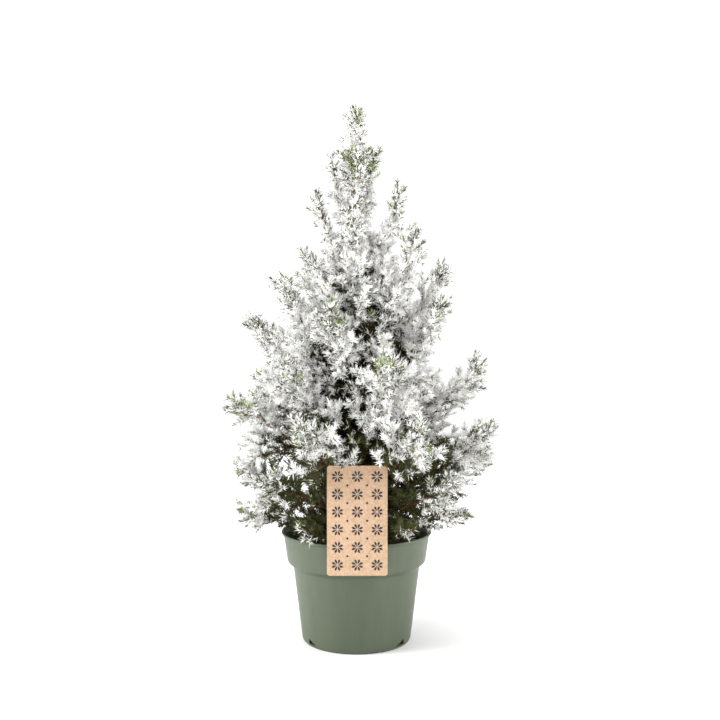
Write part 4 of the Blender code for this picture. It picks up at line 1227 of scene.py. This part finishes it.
def sky_field(shoots):
    """The share of the light from above and around that reaches each cell of the crown."""
    places = (0.2, 0.4, 0.6, 0.8, 1.0)
    crowd = np.concatenate([point_on(shoots, t) for t in places])
    weight = np.tile(shoots["length"] / TWIG_SPRIGS[1], len(places))
    low = crowd.min(axis=0) - 2 * SKY_CELL
    shape = np.ceil((crowd.max(axis=0) - low) / SKY_CELL).astype(int) + 3
    crowding = np.zeros(shape)
    np.add.at(crowding, tuple(((crowd - low) / SKY_CELL).astype(int).T), weight)
    padded = np.pad(crowding, SKY_STEPS)
    total = np.zeros(shape)
    whole = 0.0
    for number in range(SKY_DIRECTIONS):
        rise = between((SKY_LOWEST, 1.0), (number + 0.5) / SKY_DIRECTIONS)
        flat = math.sqrt(max(0.0, 1.0 - rise ** 2))
        turn = GOLDEN_ANGLE * number
        ray = np.array((flat * math.cos(turn), flat * math.sin(turn), rise))
        depth = np.zeros(shape)
        for step in range(1, SKY_STEPS):
            x, y, z = np.round(ray * step).astype(int) + SKY_STEPS
            depth += padded[x:x + shape[0], y:y + shape[1], z:z + shape[2]]
        share = 0.5 + 0.5 * rise
        total += share * np.exp(-depth * SKY_THICKNESS)
        whole += share
    return Field(low, SKY_CELL, total / whole)


def clump_field(sky):
    """Smooth random patches, as snow lies thick here and thin there."""
    draw = np.random.default_rng(SEED + 6)
    shape = np.ceil(np.array(sky.values.shape) * sky.cell / CLUMP_CELL).astype(int) + 2
    return Field(sky.low, CLUMP_CELL, draw.uniform(-1.0, 1.0, shape))


def snow_on(points, open_sky, clumps):
    """How thick the snow lies at points, from nothing to 1: less where less sky shows, and low inside."""
    patches = clumps.at(points)
    amount = smooth_step(open_sky + SNOW_PATCHINESS * patches, *SNOW_SKY)
    heights = points[:, 2]
    outer = np.hypot(points[:, 0], points[:, 1]) / np.maximum(crown_radius(heights), 10.0 * MM)
    low = 1.0 - smooth_step(heights, *SHELTERED_HEIGHTS)
    shelter = low * (1.0 - smooth_step(outer, *SHELTERED_SHARES))
    return amount * (1.0 - smooth_step(shelter + SHELTER_PATCHINESS * patches, *SHELTER_EDGE))


# Needles

def needle_shapes(roots, directions, lengths, widths, facing):
    """Slim closed needles of four faces: three-sided, widest at the foot and pointed."""
    side = unit(np.cross(directions, facing))
    above = np.cross(side, directions)
    corners = [
        roots + (side * math.cos(turn) + above * math.sin(turn)) * (widths / 2)[:, None]
        for turn in (math.pi / 2, math.pi * 7 / 6, math.pi * 11 / 6)
    ]
    points = np.stack((roots + directions * lengths[:, None], *corners), axis=1)
    return copied(points, np.array(((0, 2, 1), (0, 3, 2), (0, 1, 3), (1, 2, 3))))


def clear_of_hard_things(points):
    """Whether points keep out of the card and of the pot's rim and wall."""
    x, y, z = points.T
    out = np.hypot(x, y)
    above_rim = z > RIM_HEIGHT + NEEDLE_CLEARANCE
    inside_rim = (out < RIM_RADIUS - 3 * LIP_WIDTH) & (z > SOIL_TOP)
    outside_rim = out > RIM_RADIUS + NEEDLE_CLEARANCE
    return off_label(points, NEEDLE_CLEARANCE) & (above_rim | inside_rim | outside_rim)


def make_needles(shoots, sky, clumps, limbs, materials):
    draw = np.random.default_rng(SEED + 2)
    shoot_sky = sky.at(point_on(shoots, READ_AT))
    weight = shoots["length"] * (1.0 - shoots["bare"])
    weight *= SHADED_NEEDLES + smooth_step(shoot_sky, *NEEDLED_SKY)
    counts = np.round(weight * NEEDLES / weight.sum()).astype(int)
    shoot, number = numbered(counts)
    count = len(shoot)
    place = (number + draw.uniform(0.0, 1.0, count)) / counts[shoot]
    bearing = shoots[shoot]
    t = between((bearing["bare"], 1.0), place)
    roots = point_on(bearing, t)
    roll = draw.uniform(0.0, math.tau, len(shoots))[shoot] + GOLDEN_ANGLE * number
    roll += draw.uniform(-NEEDLE_ROLL_SPREAD, NEEDLE_ROLL_SPREAD, count)
    lean = between(NEEDLE_LEANS, place) * (1.0 - TIP_CLOSING * smooth_step(place, TIP_FROM, 1.0))
    lean += draw.uniform(-NEEDLE_LEAN_SPREAD, NEEDLE_LEAN_SPREAD, count)
    directions = unit(turned_aside(heading_on(bearing, t), lean, roll) + NEEDLE_LIFT * UP)
    lengths = NEEDLE_LENGTH * (0.80 + 0.24 * np.sin(math.pi * np.clip(place * 1.1, 0.0, 1.0)))
    lengths *= draw.uniform(0.84, 1.12, count) * (0.78 + 0.22 * bearing["scale"])
    outer = roots + directions * (lengths * READ_AT)[:, None]
    to_tip = np.linalg.norm(outer - np.array([limb.tip for limb in limbs])[bearing["owner"]], axis=1)
    kind = needle_kinds(draw, shoot, len(shoots), place, roots, outer, directions, to_tip, sky, clumps)
    widths = np.array([width for name, width, share in KINDS])[kind] * draw.uniform(0.85, 1.15, count)
    lengths *= np.array([share for name, width, share in KINDS])[kind]
    tips = roots + directions * lengths[:, None]
    inside = in_box(tips, -NEEDLE_ROOM)
    inside &= clear_of_hard_things(tips) & clear_of_hard_things((tips + roots) / 2)
    facing = unit(side_direction(directions, draw.uniform(-0.9, 0.9, count)))
    owner = bearing["owner"]
    for index, (name, width, share) in enumerate(KINDS):
        chosen = np.flatnonzero(inside & (kind == index))
        chosen = chosen[np.argsort(owner[chosen], kind="stable")]
        pieces = max(1, math.ceil(len(chosen) / PIECE_NEEDLES))
        for k, part in enumerate(np.array_split(chosen, pieces), 1):
            mesh = needle_shapes(roots[part], directions[part], lengths[part], widths[part], facing[part])
            nodes = sorted({f"mass_{limbs[o].name}" for o in np.unique(owner[part])})
            make_piece(f"needles_{name}_{k}", mesh, materials[name], "foliage", *nodes)


def needle_kinds(draw, shoot, shoot_count, place, roots, outer, directions, to_tip, sky, clumps):
    """Each needle's kind, by the snow that lies there and by how open and fresh its shoot is; bare needles
    with little open sky get painted shade, a near-black green.
    """
    open_sky = sky.at(outer)
    amount = snow_on(outer, open_sky, clumps)
    amount += draw.uniform(*SHOOT_SNOW, shoot_count)[shoot] * smooth_step(amount, 0.0, 0.3)
    amount += FLAT_SNOW * directions[:, 2] * smooth_step(amount, 0.05, 0.4)
    amount *= SNOW_MOST * between((BARE_TIP, 1.0), smooth_step(to_tip, *TIP_REACH))
    chance = draw.uniform(0.0, 1.0, len(shoot))
    spread = draw.uniform(-OLIVE_SPREAD, OLIVE_SPREAD, len(shoot))
    # bare needles with little open sky are painted near-black green as painted shade, the others olive
    kind = np.where(open_sky + spread > OLIVE_FROM, OLIVE, PAINTED_SHADE)
    kind[chance < amount] = FROST
    kind[chance < amount * THICK_SNOW] = SNOW
    growing = clumps.at(UP * LEADER_TOP - roots) > FRESH_PATCHES
    growing &= (draw.uniform(0.0, 1.0, shoot_count) < FRESH_SHOOTS)[shoot]
    fresh = growing & (place > 0.5) & (draw.uniform(0.0, 1.0, len(shoot)) < FRESH_NEEDLES)
    kind[fresh & (open_sky > FRESH_SKY) & (to_tip < FRESH_REACH)] = FRESH
    kind[(draw.uniform(0.0, 1.0, len(shoot)) < DRY_NEEDLES) & (kind != SNOW)] = DRY
    return kind


# Wood and snow

def wood(shoots, rings, sides):
    """Tapering tubes along shoots, with no twist along them."""
    shares = np.linspace(0.0, 1.0, rings)
    paths = shoots["start"][:, None] + shoots["run"][:, None] * shares[:, None]
    paths = paths + shoots["curl"][:, None] * (shares ** 2)[:, None]
    radii = shoots["foot_radius"][:, None] * (1.0 - shares) + shoots["tip_radius"][:, None] * shares
    headings = unit(np.gradient(paths, axis=1))
    across = np.cross(headings[:, :1], UP)
    weak = np.linalg.norm(across, axis=-1, keepdims=True) < 0.2
    across = np.where(weak, np.cross(headings[:, :1], BACK), across)
    across = np.broadcast_to(across, paths.shape)
    across = unit(across - headings * (across * headings).sum(-1, keepdims=True))
    return tubes(paths, radii, across, np.cross(across, headings), sides)


def make_wood(shoots, snow, twig_material, snow_material):
    level = shoots["level"]
    draw = np.random.default_rng(SEED + 7)
    white = (snow > WHITE_FROM) & (draw.uniform(0.0, 1.0, len(shoots)) < WHITE_SHARE)
    brown_parts, white_parts = (
        [wood(shoots[(level == 2) & chosen], 3, 3), wood(shoots[(level == 3) & chosen], 2, 3)]
        for chosen in (~white, white)
    )
    pieces = (
        ("limb_stems", [wood(shoots[level == 0], 14, 8)], twig_material, "bark"),
        ("twigs", [wood(shoots[level == 1], 5, 5), *brown_parts], twig_material, "foliage"),
        ("snowed_twigs", white_parts, snow_material, "foliage"),
    )
    for name, parts, material, slot in pieces:
        make_piece(name, merged(parts), material, slot, *MASS_NODES, rounded=True)


def make_snow(shoots, snow, clumps, material):
    """Small soft caps of snow on the upper side of the most open shoots."""
    draw = np.random.default_rng(SEED + 3)
    corners, faces = ball(2)
    heavy = smooth_step(clumps.at(point_on(shoots, READ_AT)), 0.0, 0.4)
    capped = draw.uniform(0.0, 1.0, len(shoots)) < between(CAP_CHANCES, heavy)
    chosen = shoots[(shoots["level"] >= 1) & (snow > CAPPED_FROM) & capped]
    count = len(chosen)
    t = draw.uniform(0.35, 0.9, count)
    headings = heading_on(chosen, t)
    across = side_direction(headings, math.pi / 2)
    above = side_direction(headings, 0.0)
    half = np.column_stack([draw.uniform(*size, count) for size in CAP_SIZES]) * MM
    centre = point_on(chosen, t) + above * half[:, 2:] * 0.8
    lumps = 1.0 + 0.22 * np.sin(corners @ draw.uniform(-4.0, 4.0, (3, 7))).mean(axis=1)
    shape = (corners * lumps[:, None])[None] * draw.uniform(0.86, 1.14, (count, len(corners), 1))
    axes = np.stack((headings, across, above), axis=1)
    points = centre[:, None] + (shape * half[:, None]) @ axes
    make_piece("snow_caps", copied(points, faces), material, "foliage", *MASS_NODES, rounded=True)


# Trunk and boughs with their bark

def bark_relief(point, radius):
    """How far the bark stands out at a point: long plates with cracks between, and fine scales."""
    slow, fine = (noise.noise(Vector(point * scale * BARK_STRETCH)) for scale in BARK_SCALES)
    plate = 1.0 - abs(slow) * 2.2
    return radius * (0.085 * plate + 0.05 * fine - 0.10)


def make_barked(name, centres, radii, across, above, lobes, material, node):
    """A closed tube along centres, with lobes as factors of the radius and the bark's relief."""
    ring = circles(across, above, lobes.shape[1])
    points = centres[:, None] + ring * (radii[:, None] * lobes)[:, :, None]
    for k, row in enumerate(points):
        for side, point in enumerate(row):
            point += ring[k, side] * bark_relief(point, radii[k])
    mesh = skin(points, centres[0], centres[-1])
    make_piece(name, mesh, material, "bark", node, rounded=True)


def make_trunk(material):
    share = np.linspace(0.0, 1.0, TRUNK_RINGS) ** 1.15
    heights = between((SOIL_TOP - TRUNK_SINK, TRUNK_TOP), share)
    centres = trunk_axis(np.maximum(heights, SOIL_TOP))
    centres[:, 2] = heights
    turns = math.tau * np.arange(TRUNK_SIDES) / TRUNK_SIDES
    lobes = 1.0 - FLARE_LOBE_DEPTH * flare(heights)[:, None] * (0.5 - 0.5 * np.cos(FLARE_LOBES * turns))
    across = np.broadcast_to(RIGHT, centres.shape)
    above = np.broadcast_to(BACK, centres.shape)
    make_barked("trunk_bark", centres, trunk_radius(heights), across, above, lobes, material, "trunk")


def make_boughs(limbs, material):
    for limb in limbs:
        if not limb.has_bough:
            continue
        shares = np.linspace(limb.leaves_trunk - 0.02, BOUGH_SHARE, BOUGH_RINGS)
        centres = limb.point(shares)
        headings = limb.heading(shares)
        radii = BOUGH_RADIUS * (1.0 - BOUGH_TAPER * (shares / BOUGH_SHARE))
        across = unit(np.cross(headings, UP))
        lobes = np.ones((BOUGH_RINGS, BOUGH_SIDES))
        above = np.cross(across, headings)
        name = limb.name
        make_barked(f"bark_{name}", centres, radii, across, above, lobes, material, f"bough_{name}")


# Scene: floor, light and camera

def make_floor():
    bm = bmesh.new()
    bmesh.ops.create_grid(bm, x_segments=2, y_segments=2, size=FLOOR_SIZE)
    mesh = bpy.data.meshes.new("floor")
    bm.to_mesh(mesh)
    bm.free()
    floor = linked("floor", mesh, floor_material())


def make_world():
    """Even light from all sides, a little less from the front than from behind."""
    world = bpy.data.worlds.new("studio")
    bpy.context.scene.world = world
    world.use_nodes = True
    tree = world.node_tree
    place = add_node(tree, "TexCoord")
    turned = add_node(tree, "Mapping", {
        "Rotation": (0.0, 0.0, math.radians(-90.0)),
        "Scale": (0.5, 0.5, 0.5),
        "Location": (0.5, 0.0, 0.0),
    }, {"Vector": (place, "Generated")})
    front_to_back = add_node(tree, "TexGradient", sources={"Vector": (turned, "Vector")})
    background = tree.nodes["Background"]
    paint(tree, front_to_back, SKY_STOPS, background, "Color")
    background.inputs["Strength"].default_value = SKY_STRENGTH


def make_lights():
    for name, place, size, power in LIGHTS:
        light = bpy.data.lights.new(name, "AREA")
        light.shape = "DISK"
        light.size = size
        light.energy = power
        thing = linked(name, light)
        thing.location = place
        thing.rotation_euler = (LIGHT_AIM - thing.location).to_track_quat("-Z", "Y").to_euler()


def make_camera():
    data = bpy.data.cameras.new("camera")
    data.sensor_width = SENSOR_WIDTH
    data.lens = CAMERA_FOCAL_PIXELS * SENSOR_WIDTH / IMAGE_PIXELS
    camera = linked("camera", data)
    camera.location = CAMERA_PLACE
    pitch = math.atan((IMAGE_PIXELS / 2 - HORIZON_PIXEL) / CAMERA_FOCAL_PIXELS)
    camera.rotation_euler = (math.radians(90.0) - pitch, 0.0, 0.0)
    bpy.context.scene.camera = camera


def main():
    limbs = all_limbs()
    shoots = grown_crown(limbs)
    sky = sky_field(shoots)
    clumps = clump_field(sky)
    places = point_on(shoots, READ_AT)
    snow = snow_on(places, sky.at(places), clumps)
    bark = bark_material()
    materials = {
        "snow": mottled("snow"),
        "frost": mottled("frosted_needle"),
        "olive": mottled("olive_needle", 0.2),
        # painted shade: near-black green for needles deep in the crown
        "dark": mottled("dark_needle", 0.1),
        "fresh": mottled("fresh_needle"),
        "dry": mottled("dry_needle"),
    }
    make_needles(shoots, sky, clumps, limbs, materials)
    make_wood(shoots, snow, mottled("twig_wood"), materials["snow"])
    make_snow(shoots, snow, clumps, materials["snow"])
    make_trunk(bark)
    make_boughs(limbs, bark)
    make_pot(plastic_material())
    make_soil(materials["dry"])
    make_label(kraft_material(), mottled("black_ink"))
    make_floor()
    make_world()
    make_lights()
    make_camera()
    bpy.context.scene.view_settings.view_transform = "Standard"


main()
